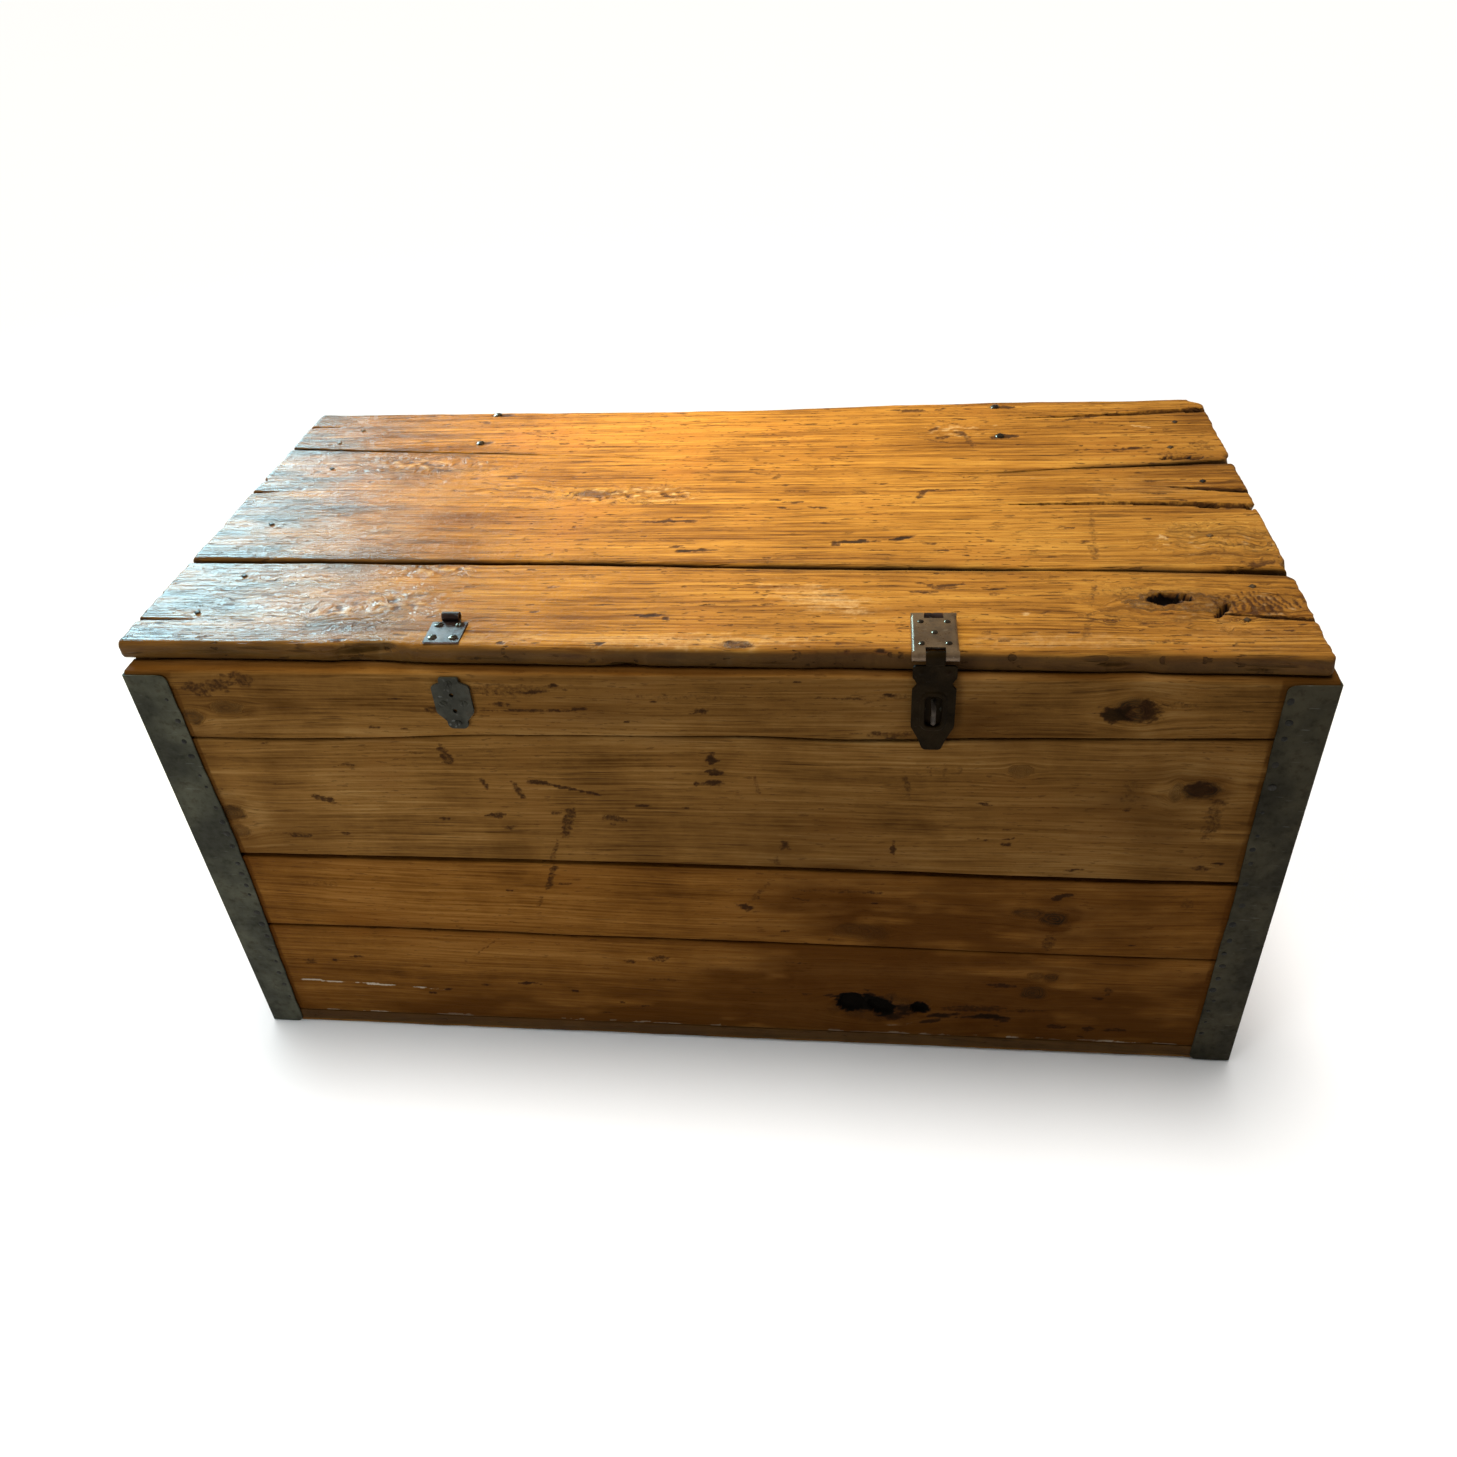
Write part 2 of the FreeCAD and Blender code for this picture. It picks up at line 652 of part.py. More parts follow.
def hasp_blade():
    """The slotted strap that hangs from the front pin over the staple."""
    half_centre = hasp_centre_width / 2
    half_width = blade_width / 2
    half_neck = blade_neck_width / 2
    half_slot = slot_width / 2

    def place(u, v):
        return FreeCAD.Vector(hasp_place + u, blade_front, hasp_axis_z + v)

    plate = sheet(
        mirrored([
            (half_width, -blade_shoulder_drop, blade_shoulder_radius),
            (half_width, -blade_neck_start_drop, blade_neck_radius),
            (half_neck, -blade_neck_top_drop, blade_neck_radius),
            (half_neck, -blade_neck_bottom_drop, blade_neck_radius),
            (half_width, -blade_neck_end_drop, blade_neck_radius),
            (half_width, -blade_waist_drop, blade_waist_radius),
            (blade_foot_width / 2, -blade_foot_drop, blade_foot_radius),
            (blade_tip_width / 2, -blade_tip_drop, blade_tip_radius),
        ]),
        place, rear * blade_sheet,
    )
    slot = sheet(
        mirrored([(half_slot, -slot_start_drop, slot_corner_radius), (half_slot, -slot_end_drop, slot_corner_radius)]),
        place, rear * blade_sheet,
    )
    tongue = block(
        (hasp_place - half_centre, blade_front, hasp_axis_z - blade_shoulder_drop),
        (hasp_place + half_centre, blade_front + blade_sheet, hasp_axis_z),
    )
    rolls, drill = knuckles(
        hasp_knuckle_radius, hasp_pin_radius + hasp_pin_fit, hasp_front_y, hasp_axis_z,
        [(hasp_place - half_centre, hasp_place + half_centre)],
    )
    return plate.cut(slot).multiFuse([tongue] + rolls).cut(drill)


def staple_plate(middle):
    """The shaped plate on the front, with two holes for the legs of its staple."""
    plate = sheet(
        mirrored([
            (plate_neck_width / 2, plate_top_rise, plate_crook_radius),
            (plate_neck_width / 2, plate_neck_rise, plate_crook_radius),
            (plate_width / 2, plate_shoulder_rise, plate_shoulder_radius),
            (plate_width / 2, -plate_waist_fall, plate_waist_radius),
            (plate_foot_width / 2, -plate_ankle_fall, plate_crook_radius),
            (plate_foot_width / 2, -plate_foot_fall, plate_foot_radius),
        ]),
        lambda u, v: FreeCAD.Vector(middle + u, -half_depth, staple_z + v), rear * -plate_sheet,
    )
    for _, sign in sides:
        start = FreeCAD.Vector(middle, -half_depth, staple_z + sign * staple_leg_spacing / 2)
        plate = plate.cut(rod(staple_wire_radius, start, start - rear * plate_sheet))
    return plate


def staple_plate_screw_points(middle):
    """Four screws round the staple of a plate."""
    places = [
        (0, plate_top_screw_rise), (0, -plate_foot_screw_fall),
        (-plate_side_screw_spacing / 2, 0), (plate_side_screw_spacing / 2, 0),
    ]
    return [FreeCAD.Vector(middle + x, -half_depth - plate_sheet, staple_z + z) for x, z in places]


def staple():
    """A bent wire loop with its two legs through the plate, one above the other."""
    outer = -half_depth - plate_sheet - staple_projection + staple_wire_radius
    rises = staple_z + staple_leg_spacing / 2, staple_z - staple_leg_spacing / 2
    places = [(-half_depth, rises[0]), (outer, rises[0]), (outer, rises[1]), (-half_depth, rises[1])]
    points = [FreeCAD.Vector(hasp_place, y, z) for y, z in places]
    return bent_rod(staple_wire_radius, points, staple_bend_radius)


def hasps():
    """The whole hasp on the right and what is left of the one on the left."""

    def pin(y):
        reach = right * (hasp_cover_width / 2)
        middle = FreeCAD.Vector(hasp_place, y, hasp_axis_z)
        return rod(hasp_pin_radius, middle - reach, middle + reach)

    cover_middle = (hasp_front_y + hasp_back_y) / 2
    cover_top = hasp_axis_z + hasp_knuckle_radius
    rivet_places = [(0, 0)] + [
        (x * hasp_rivet_spacing_across / 2, y * hasp_rivet_spacing_along / 2) for x in (-1, 1) for y in (-1, 1)
    ]
    rivets = [FreeCAD.Vector(hasp_place + x, cover_middle + y, cover_top) for x, y in rivet_places]
    base_places = (hasp_base_left_place, hasp_place)
    plate_places = (hasp_staple_left_place, hasp_place)
    base_points = [point for middle in base_places for point in hasp_base_screw_points(middle)]
    plate_points = [point for middle in plate_places for point in staple_plate_screw_points(middle)]
    return {
        "hasp_base_plate_left": hasp_base(base_places[0]),
        "hasp_base_plate_right": hasp_base(base_places[1]),
        "hasp_base_screws": fasteners(screw, hasp_screw_size, base_points, up),
        "hasp_back_pin": pin(hasp_back_y),
        "hasp_front_pin": pin(hasp_front_y),
        "hasp_cover_leaf": hasp_cover(),
        "hasp_cover_rivets": fasteners(rivet, hasp_rivet_size, rivets, up),
        "hasp_slotted_strap": hasp_blade(),
        "staple_plate_left": staple_plate(plate_places[0]),
        "staple_plate_right": staple_plate(plate_places[1]),
        "staple_plate_screws": fasteners(screw, plate_screw_size, plate_points, -rear),
        "staple": staple(),
    }


def handle_clip(sign, y):
    """A saddle clip that holds one pivot of a handle against an end of the box."""
    axis_out = handle_wall_gap + handle_rod_radius
    inner = handle_rod_radius + clip_fit
    outer = inner + clip_sheet
    start = y - clip_width / 2

    def place(out, rise):
        return FreeCAD.Vector(sign * (half_length + out), start, handle_height + rise)

    def bar(reach, low, high):
        corners = [(0, low), (reach, low), (reach, high), (0, high)]
        return plank(corners, place, rear * clip_width)

    axis = place(axis_out, 0)
    flange = bar(clip_sheet, -clip_height / 2, clip_height / 2)
    saddle = bar(axis_out, -outer, outer).fuse(rod(outer, axis, axis + rear * clip_width))
    tunnel = bar(axis_out, -inner, inner).fuse(rod(inner, axis, axis + rear * clip_width))
    behind = bar(-outer, -outer, outer)
    return flange.fuse(saddle).cut([tunnel, behind]).removeSplitter()


def handles():
    """A bail of round bar on each end of the box, with its pivots in two clips, and the screws of the clips."""
    pieces = {}
    screws = []
    reach = handle_leg_spacing / 2
    pivot = reach - handle_pivot_length
    clip_place = pivot + (handle_pivot_length - handle_bend_radius) / 2
    for side, sign in sides:
        x = sign * (half_length + handle_wall_gap + handle_rod_radius)
        low = handle_height - handle_drop
        places = [
            (-pivot, handle_height), (-reach, handle_height), (-reach, low), (reach, low),
            (reach, handle_height), (pivot, handle_height),
        ]
        points = [FreeCAD.Vector(x, y, z) for y, z in places]
        pieces["handle_bail_" + side] = bent_rod(handle_rod_radius, points, handle_bend_radius)
        pieces["handle_clips_" + side] = [handle_clip(sign, -clip_place), handle_clip(sign, clip_place)]
        heads = [
            FreeCAD.Vector(sign * (half_length + clip_sheet), y, handle_height + z * clip_screw_spacing / 2)
            for y in (-clip_place, clip_place) for z in (-1, 1)
        ]
        screws += fasteners(screw, clip_screw_size, heads, right * sign)
    pieces["handle_screws"] = screws
    return pieces


def drilled(solid, drivers):
    """A piece with a fitting hole for each fastener that reaches it."""
    reaching = [driver for driver in drivers if driver.BoundBox.intersect(solid.BoundBox)]
    return solid.cut(reaching) if reaching else solid


def trunk():
    """All pieces by name. A list is a group of separate solids."""
    pieces = walls() | bottom() | corner_posts() | corner_straps() | lid() | hinges() | hasps() | handles()
    for middle in hinge_places:
        pieces["back_board_top"] = pieces["back_board_top"].cut(hinge_gain(middle))
    groups = [name for name in pieces if name.endswith(("nails", "screws", "rivets"))]
    drivers = [driver for name in groups for driver in pieces[name]]
    for name in pieces:
        if name not in groups:
            whole = pieces[name] if isinstance(pieces[name], list) else [pieces[name]]
            pieces[name] = [drilled(solid, drivers) for solid in whole]
    return pieces


os.makedirs("parts", exist_ok=True)
for node, solids in trunk().items():
    shape = solids[0] if len(solids) == 1 else Part.makeCompound(solids)
    shape.exportStep("parts/" + node + ".step")
    print(node, len(shape.Solids), round(shape.Volume), shape.isValid())
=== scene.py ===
import bpy
import numpy as np
from mathutils import Matrix, Vector


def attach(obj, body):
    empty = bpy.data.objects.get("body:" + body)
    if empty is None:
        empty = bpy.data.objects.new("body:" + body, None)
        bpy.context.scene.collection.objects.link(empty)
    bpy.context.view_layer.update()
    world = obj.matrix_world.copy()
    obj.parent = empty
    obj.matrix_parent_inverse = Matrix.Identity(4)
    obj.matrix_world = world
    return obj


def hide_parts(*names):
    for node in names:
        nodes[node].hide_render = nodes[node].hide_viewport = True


# Old plank trunk: boards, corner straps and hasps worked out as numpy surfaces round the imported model.
# Sizes and places are in millimetres and become metres through mm. The trunk's own box, noise, dirt,
# materials and the stage are in metres.

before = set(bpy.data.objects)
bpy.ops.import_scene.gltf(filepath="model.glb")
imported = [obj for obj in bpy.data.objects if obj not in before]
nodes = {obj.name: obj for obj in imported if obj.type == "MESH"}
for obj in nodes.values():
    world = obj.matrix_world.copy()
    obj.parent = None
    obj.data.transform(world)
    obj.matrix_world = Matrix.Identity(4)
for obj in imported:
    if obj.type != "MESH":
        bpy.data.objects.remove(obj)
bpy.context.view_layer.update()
mm = 0.001
fullTurn = 6.283  # radians
trunk = {"halfLong": 0.5, "halfDeep": 0.25, "lidTop": 0.4795}  # in metres


def softNoise(x, y, seed):  # random heights on a lattice, eased between neighbours, from -1 to 1
    heights = np.random.default_rng(seed).uniform(-1, 1, (256, 256))
    x, y = np.broadcast_arrays(np.asarray(x, float), np.asarray(y, float))
    column, row = np.floor(x).astype(int), np.floor(y).astype(int)
    easeX, easeY = [t ** 3 * (t * (6 * t - 15) + 10) for t in (x - column, y - row)]
    corner = [heights[(column + i) & 255, (row + j) & 255] for i in (0, 1) for j in (0, 1)]
    near = corner[0] + (corner[1] - corner[0]) * easeY
    far = corner[2] + (corner[3] - corner[2]) * easeY
    return near + (far - near) * easeX


def layeredNoise(x, y, seed, layers=3):  # soft noise, each layer twice as fine and half as strong
    return sum(softNoise(x * 2 ** k, y * 2 ** k, seed + k) / 2 ** k for k in range(layers))


def stretched(x, y, seed, term):
    # amount times layered noise; a term is amount, scale along x, scale along y, step of the seed, layers
    amount, scaleX, scaleY, step, layers = term
    return amount * layeredNoise(x * scaleX, y * scaleY, seed + step, layers)


def ease(low, high, value):  # 0 below low, 1 above high, smooth between
    t = np.clip((value - low) / (high - low), 0, 1)
    return t * t * (3 - 2 * t)


def faded(plan, value):  # a plan is a strength, where it sets in and where it is full
    strength, start, full = plan
    return strength * ease(start, full, value)


def throughPoints(pairs):  # a smooth line through (along, value) pairs: cubics with averaged slopes
    x, y = np.array(pairs, float).T * mm
    slope = np.gradient(y, x)

    def line(at):
        at = np.clip(at, x[0], x[-1])
        k = np.clip(np.searchsorted(x, at) - 1, 0, len(x) - 2)
        h = x[k + 1] - x[k]
        t = (at - x[k]) / h
        start = (1 + 2 * t) * (1 - t) ** 2 * y[k] + t * (1 - t) ** 2 * h * slope[k]
        return start + t * t * (3 - 2 * t) * y[k + 1] + t * t * (t - 1) * h * slope[k + 1]

    return line


def linked(name, data):  # a new object at the origin, put into the scene
    thing = bpy.data.objects.new(name, data)
    bpy.context.scene.collection.objects.link(thing)
    return thing


def meshPiece(name, points, quads, caps=(), attributes=None):
    # points as rows of x, y, z; quads as rows of four corners; caps as closed rings of corners
    first, second, third, fourth = points[quads].transpose(1, 0, 2)
    volume = np.einsum("ij,ij->", first, np.cross(second, third) + np.cross(third, fourth))
    if volume < 0:
        quads = quads[:, ::-1]
    else:
        caps = [cap[::-1] for cap in caps]
    mesh = bpy.data.meshes.new(name)
    mesh.vertices.add(len(points))
    mesh.vertices.foreach_set("co", points.astype(np.float32).ravel())
    corners = np.concatenate([quads.ravel(), *caps]) if len(caps) else quads.ravel()
    sizes = np.concatenate([np.full(len(quads), 4), [len(cap) for cap in caps]]).astype(int)
    mesh.loops.add(len(corners))
    mesh.loops.foreach_set("vertex_index", corners.astype(np.int32))
    mesh.polygons.add(len(sizes))
    mesh.polygons.foreach_set("loop_start", np.concatenate([[0], np.cumsum(sizes)[:-1]]).astype(np.int32))
    mesh.polygons.foreach_set("use_smooth", sizes == 4)
    mesh.update(calc_edges=True)
    for label, values in (attributes or {}).items():
        kind, key = ("FLOAT_VECTOR", "vector") if values.shape[-1] == 3 else ("FLOAT_COLOR", "color")
        layer = mesh.attributes.new(label, kind, "POINT")
        layer.data.foreach_set(key, values.reshape(-1).astype(np.float32))
    mesh.validate()
    return linked(name, mesh)


def gridQuads(rows, columns, wrapRows=False):  # the cells of a grid that wraps round its columns
    index = np.arange(rows * columns).reshape(rows, columns)
    here, down = (index, np.roll(index, -1, 0)) if wrapRows else (index[:-1], index[1:])
    return np.stack([here, down, np.roll(down, -1, 1), np.roll(here, -1, 1)], -1).reshape(-1, 4)


def endRings(rows, columns):  # the first and the last row of a grid, as rings that shut its ends
    ring = np.arange(columns)
    return [ring, ring[::-1] + (rows - 1) * columns]


def closedPiece(name, points, attributes=None):  # a grid that wraps round its columns, with both ends shut
    size = points.shape[:2]
    return meshPiece(name, points.reshape(-1, 3), gridQuads(*size), endRings(*size), attributes)


def dress(piece, body, slot, finish, *replaced):
    piece.data.materials.append(finish)
    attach(piece, body)
    if replaced:
        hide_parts(*replaced)


# finishes

def colour(*parts):
    return (*parts, 1.0)


def startFinish(name):
    finish = bpy.data.materials.new(name)
    finish.use_nodes = True
    tree = finish.node_tree
    shader = tree.nodes["Principled BSDF"]

    def put(kind, values=None, **settings):
        node = tree.nodes.new("ShaderNode" + kind)
        for key, value in settings.items():
            setattr(node, key, value)
        for key, value in (values or {}).items():
            socket = node.inputs[key]
            if isinstance(value, bpy.types.NodeSocket):
                tree.links.new(value, socket)
            else:
                socket.default_value = colour(*value) if socket.type == "RGBA" else value
        return node

    def maths(way, *values):
        return put("Math", dict(enumerate(values)), operation=way).outputs[0]

    def mixed(share, first, second):
        return put("Mix", {0: share, 6: first, 7: second}, data_type="RGBA").outputs[2]

    def spread(value, low, high, toLow=0.0, toHigh=1.0):
        parts = {"Value": value, "From Min": low, "From Max": high, "To Min": toLow, "To Max": toHigh}
        return put("MapRange", parts, interpolation_type="SMOOTHSTEP").outputs[0]

    def noise(vector, scale, detail=3.0, roughness=0.55):
        parts = {"Vector": vector, "Scale": scale, "Detail": detail, "Roughness": roughness}
        return put("TexNoise", parts).outputs["Fac"]

    def wire(socket, value):
        tree.links.new(value, shader.inputs[socket])

    return finish, shader, put, maths, mixed, spread, noise, wire


woodStreaks = {  # scale along the board, scale across the rings, detail
    "broad": (1.3, 34.0, 4.0), "band": (3.4, 110.0, 4.0), "fibre": (9.0, 420.0, 3.0),
    "check": (14.0, 430.0, 2.0), "dash": (70.0, 400.0, 2.0), "gash": (26.0, 240.0, 3.0),
}
woodSpots = {  # scale, detail, roughness
    "patch": (9.0, 5.0, 0.65), "cloud": (2.6, 3.0, 0.55), "grit": (260.0, 3.0, 0.65),
    "dents": (75.0, 2.0, 0.55),
}
woodSteps = {  # where each effect sets in and where it is full, and for some the least and most of it
    "lateRing": (0.2, 1.0), "lateBand": (0.3, 0.7), "red": (0.5, 0.72, 0.0, 0.55), "dash": (0.61, 0.67),
    "dashPatch": (0.40, 0.56), "gash": (0.645, 0.70), "gashPatch": (0.58, 0.44), "check": (0.60, 0.70),
    "checkPatch": (0.62, 0.38), "swirl": (0.56, 0.78), "worn": (0.03, 0.3), "dirt": (0.3, 0.75, 0.62, 1.0),
    "knotRing": (-0.4, 1.0, 0.0, 0.6), "ink": (0.97, 1.56), "inkEdge": (0.04, 0.25), "inkHeart": (0.78, 0.95),
    "soot": (0.62, 0.95),
}
woodShares = {  # how much each noise or mark counts, in the order of the values that use them
    "tone": (0.25, 0.25, 0.36, 0.14), "swirl": (1.0, 0.3), "chip": (1.0, 0.8, 0.9), "dirt": (0.5, 0.6),
    "ink": (1.0, 0.6, 1.1), "gloss": (0.35, 0.3, 0.25, 0.3),
    "height": (0.5, 0.8, 0.25, 0.45, 0.55, -1.2, -0.4, -0.3),
}
woodRamp = {"dark": 0.10, "middle": 0.5, "light": 0.92}
woodRest = {
    "fine": (30.0, 1300.0, 2.0), "streakRough": 0.6, "waver": 14.0, "cloudShare": 0.6, "blotchMiddle": 0.8,
    "glossMiddle": 0.325, "knotRings": 2600.0, "bumpReach": 0.0012,
}


def woodFinish(name, look):
    # Streaks follow the grain attribute: along the board, growth ring, across. Marks: stain, pale, knot,
    # dirt and painted shade. The stain also holds painted shade in torn hollows.
    # Glow: halo round a knot, curl of the grain, polish.
    finish, shader, put, maths, mixed, spread, noise, wire = startFinish(name)

    def attribute(label):
        return put("Attribute", attribute_name=label).outputs

    grain, glow = [put("SeparateXYZ", {0: attribute(label)["Vector"]}).outputs for label in ("grain", "glow")]
    marks = attribute("marks")
    mark, dirtAndShade = put("SeparateColor", {0: marks["Color"]}).outputs, marks["Alpha"]
    place = put("TexCoord").outputs["Object"]

    def streak(alongScale, ringScale, detail, which=1):
        parts = {0: maths("MULTIPLY", grain[0], alongScale), 1: maths("MULTIPLY", grain[which], ringScale)}
        return noise(put("CombineXYZ", parts).outputs[0], 1.0, detail, woodRest["streakRough"])

    def weighted(*pairs):
        total = maths("MULTIPLY", *pairs[0])
        for value, weight in pairs[1:]:
            total = maths("MULTIPLY_ADD", value, weight, total)
        return total

    def shared(key, *values):
        return weighted(*zip(values, woodShares[key]))

    def step(key, value, *reach):
        return spread(value, *woodSteps[key], *reach)

    broad, band, fibre, check, dash, gash = [streak(*row) for row in woodStreaks.values()]
    fine = streak(*woodRest["fine"], 2)
    patch, cloud, grit, dents = [noise(place, *row) for row in woodSpots.values()]

    # tone: streaks, blotches, late wood of the rings and the halo round knots, kept about its middle
    wave = weighted((grain[1], fullTurn / look["ringWidth"]), (broad, woodRest["waver"]))
    late = maths("MULTIPLY", step("lateRing", maths("SINE", wave)), step("lateBand", band))
    strength, blotch = look["contrast"], look["blotch"]
    tone = weighted(*zip((broad, band, fibre, fine), [share * strength for share in woodShares["tone"]]))
    tone = weighted((tone, 1.0), (patch, blotch), (cloud, woodRest["cloudShare"] * blotch),
                    (late, -look["ringDepth"]), (glow[0], look["halo"]))
    tone = maths("ADD", tone, 0.5 - 0.5 * strength - woodRest["blotchMiddle"] * blotch)
    ramp = put("ValToRGB", {0: tone})
    stops = ramp.color_ramp.elements
    for stop, key in zip(stops, ("dark", "light")):
        stop.position, stop.color = woodRamp[key], colour(*look[key])
    stops.new(woodRamp["middle"]).color = colour(*look["middle"])
    tint = mixed(step("red", patch), ramp.outputs[0], look["red"])

    # pits and checks, curled grain, worn pale patches, dirt and painted shade, knots and stains, one over the
    # other
    pits = maths("MULTIPLY", step("dash", dash), step("dashPatch", patch))
    pits = maths("MAXIMUM", pits, maths("MULTIPLY", step("gash", gash), step("gashPatch", patch)))
    lines = maths("MULTIPLY", step("check", check), step("checkPatch", patch))
    pits = maths("MAXIMUM", maths("MULTIPLY", pits, look["pits"]), maths("MULTIPLY", lines, look["checks"]))
    tint = mixed(pits, tint, look["smudge"])
    curled = maths("MULTIPLY", glow[1], look["swirl"])
    tint = mixed(maths("MULTIPLY", step("swirl", shared("swirl", band, grit)), curled), tint, look["smudge"])
    chipped = spread(shared("chip", mark[1], fibre, grit), *look["chip"])
    tint = mixed(maths("MULTIPLY", chipped, step("worn", mark[1])), tint, look["pale"])
    tint = mixed(maths("MULTIPLY", dirtAndShade, step("dirt", shared("dirt", fibre, patch))), tint, look["dirtAndShade"])
    knotRing = step("knotRing", maths("SINE", maths("MULTIPLY", grain[1], woodRest["knotRings"])))
    tint = mixed(mark[2], tint, mixed(knotRing, look["knot"], look["dark"]))
    broken = step("ink", shared("ink", mark[0], fibre, grit))
    ink = maths("MULTIPLY", broken, step("inkEdge", mark[0], 0.0, look["ink"]))
    ink = maths("MAXIMUM", ink, step("inkHeart", mark[0]))
    tint = mixed(ink, tint, mixed(step("soot", mark[0]), look["smudge"], look["soot"]))
    wire("Base Color", tint)

    gloss = weighted(*zip((patch, fibre, ink, pits), woodShares["gloss"]), (glow[2], -look["polish"]))
    wire("Roughness", maths("ADD", gloss, look["rough"] - woodRest["glossMiddle"]))
    height = shared("height", band, fibre, fine, grit, dents, pits, ink, late)
    bump = {"Strength": look["bump"], "Distance": woodRest["bumpReach"], "Height": height}
    wire("Normal", put("Bump", bump).outputs[0])
    shader.inputs["Specular IOR Level"].default_value = look["specular"]
    return finish


lidLook = {
    "dark": (0.105, 0.038, 0.0062), "middle": (0.285, 0.122, 0.019), "light": (0.44, 0.22, 0.041),
    "red": (0.232, 0.08, 0.011), "pale": (0.55, 0.36, 0.17), "knot": (0.03, 0.014, 0.007),
    "smudge": (0.052, 0.02, 0.007), "soot": (0.008, 0.005, 0.004), "dirtAndShade": (0.035, 0.0176, 0.0064),
    "ringWidth": 0.0065, "ringDepth": 0.16, "blotch": 0.8, "contrast": 4.0, "ink": 0.9, "swirl": 0.6,
    "halo": 0.5, "chip": (0.7, 1.9), "checks": 0.8, "pits": 0.85, "rough": 0.58, "polish": 0.3, "bump": 0.85,
    "specular": 0.08,
}
frontLook = {
    "dark": (0.059, 0.0236, 0.004), "middle": (0.152, 0.0703, 0.016), "light": (0.26, 0.141, 0.0445),
    "red": (0.107, 0.039, 0.0063), "pale": (0.38, 0.31, 0.22), "knot": (0.014, 0.008, 0.004),
    "smudge": (0.021, 0.0085, 0.0036), "soot": (0.004, 0.003, 0.002), "dirtAndShade": (0.04, 0.013, 0.0014),
    "ringWidth": 0.0075, "ringDepth": 0.08, "blotch": 1.1, "contrast": 2.6, "ink": 0.9, "swirl": 0.4,
    "halo": 0.2, "chip": (1.05, 1.45), "checks": 0.6, "pits": 0.4, "rough": 0.62, "polish": 0.0, "bump": 0.5,
    "specular": 0.012,
}
lowShadedLook = {  # painted shade: the two lower boards take a warmer copy, the upper boards stay cooler as if lit by cool light
    **frontLook, "dark": (0.059, 0.0197, 0.0023), "middle": (0.151, 0.06, 0.0097),
    "light": (0.255, 0.118, 0.0275), "red": (0.107, 0.0338, 0.0037), "dirtAndShade": (0.041, 0.0115, 0.0009),
}
plainLook = {
    "dark": (0.084, 0.032, 0.0056), "middle": (0.21, 0.09, 0.016), "light": (0.33, 0.16, 0.036),
    "red": (0.16, 0.058, 0.009), "pale": (0.42, 0.33, 0.21), "knot": (0.018, 0.01, 0.005),
    "smudge": (0.046, 0.019, 0.007), "soot": (0.01, 0.006, 0.004), "dirtAndShade": (0.042, 0.019, 0.007),
    "ringWidth": 0.008, "ringDepth": 0.1, "blotch": 1.0, "contrast": 2.8, "ink": 0.85, "swirl": 0.4,
    "halo": 0.3, "chip": (0.9, 1.6), "checks": 0.6, "pits": 0.5, "rough": 0.62, "polish": 0.0, "bump": 0.5,
    "specular": 0.06,
}
lidWood = woodFinish("lidWood", lidLook)
frontWood = woodFinish("frontWood", frontLook)
lowShadedWood = woodFinish("lowShadedWood", lowShadedLook)
plainWood = woodFinish("plainWood", plainLook)
footWood = woodFinish("footWood", {**plainLook, "dirtAndShade": (0.021, 0.0098, 0.0034)})  # bottom boards


def sawnFinish(name, look):  # bare sawn wood of the pieces inside, streaked along one axis
    finish, _, put, _, mixed, spread, noise, wire = startFinish(name)
    along = put("Mapping", {"Vector": put("TexCoord").outputs["Object"], "Scale": look["stretch"]}).outputs[0]
    broad, fine = noise(along, *look["broad"]), noise(along, *look["fine"])
    tint = mixed(spread(broad, *look["tone"]), look["dark"], look["light"])
    wire("Base Color", mixed(spread(fine, *look["reddened"]), tint, look["red"]))
    wire("Roughness", spread(fine, *look["rough"]))
    bump = {"Strength": look["bump"], "Distance": look["reach"], "Height": fine}
    wire("Normal", put("Bump", bump).outputs[0])
    return finish


sawnLook = {
    "dark": (0.10, 0.05, 0.016), "light": (0.24, 0.13, 0.05), "red": (0.14, 0.06, 0.02), "broad": (30.0, 4.0),
    "fine": (260.0, 3.0), "tone": (0.3, 0.7), "reddened": (0.45, 0.8, 0.0, 0.5),
    "rough": (0.2, 0.8, 0.55, 0.8), "bump": 0.5, "reach": 0.0006,
}
postWood = sawnFinish("postWood", {**sawnLook, "stretch": (1.0, 1.0, 0.06)})
battenWood = sawnFinish("battenWood", {**sawnLook, "stretch": (1.0, 0.06, 1.0)})

metalSteps = {  # where each effect sets in and where it is full, and for some the least and most of it
    "tone": (0.32, 0.68), "deep": (0.5, 0.8, 0.0, 0.7), "rust": (0.46, 0.66), "rustCloud": (0.45, 0.7),
    "bright": (0.66, 0.74), "rough": (0.5, 0.9), "metal": (0.1, 0.6),
}
metalRest = {
    "mottle": 6, "mottleRough": 0.65, "grit": 900.0, "scratchTurn": (0.3, 0.5, 0.4), "gritGloss": 0.4,
    "gritHeight": 0.35, "rustMetal": 0.1, "specular": 0.5, "bumpReach": 0.0005,
}


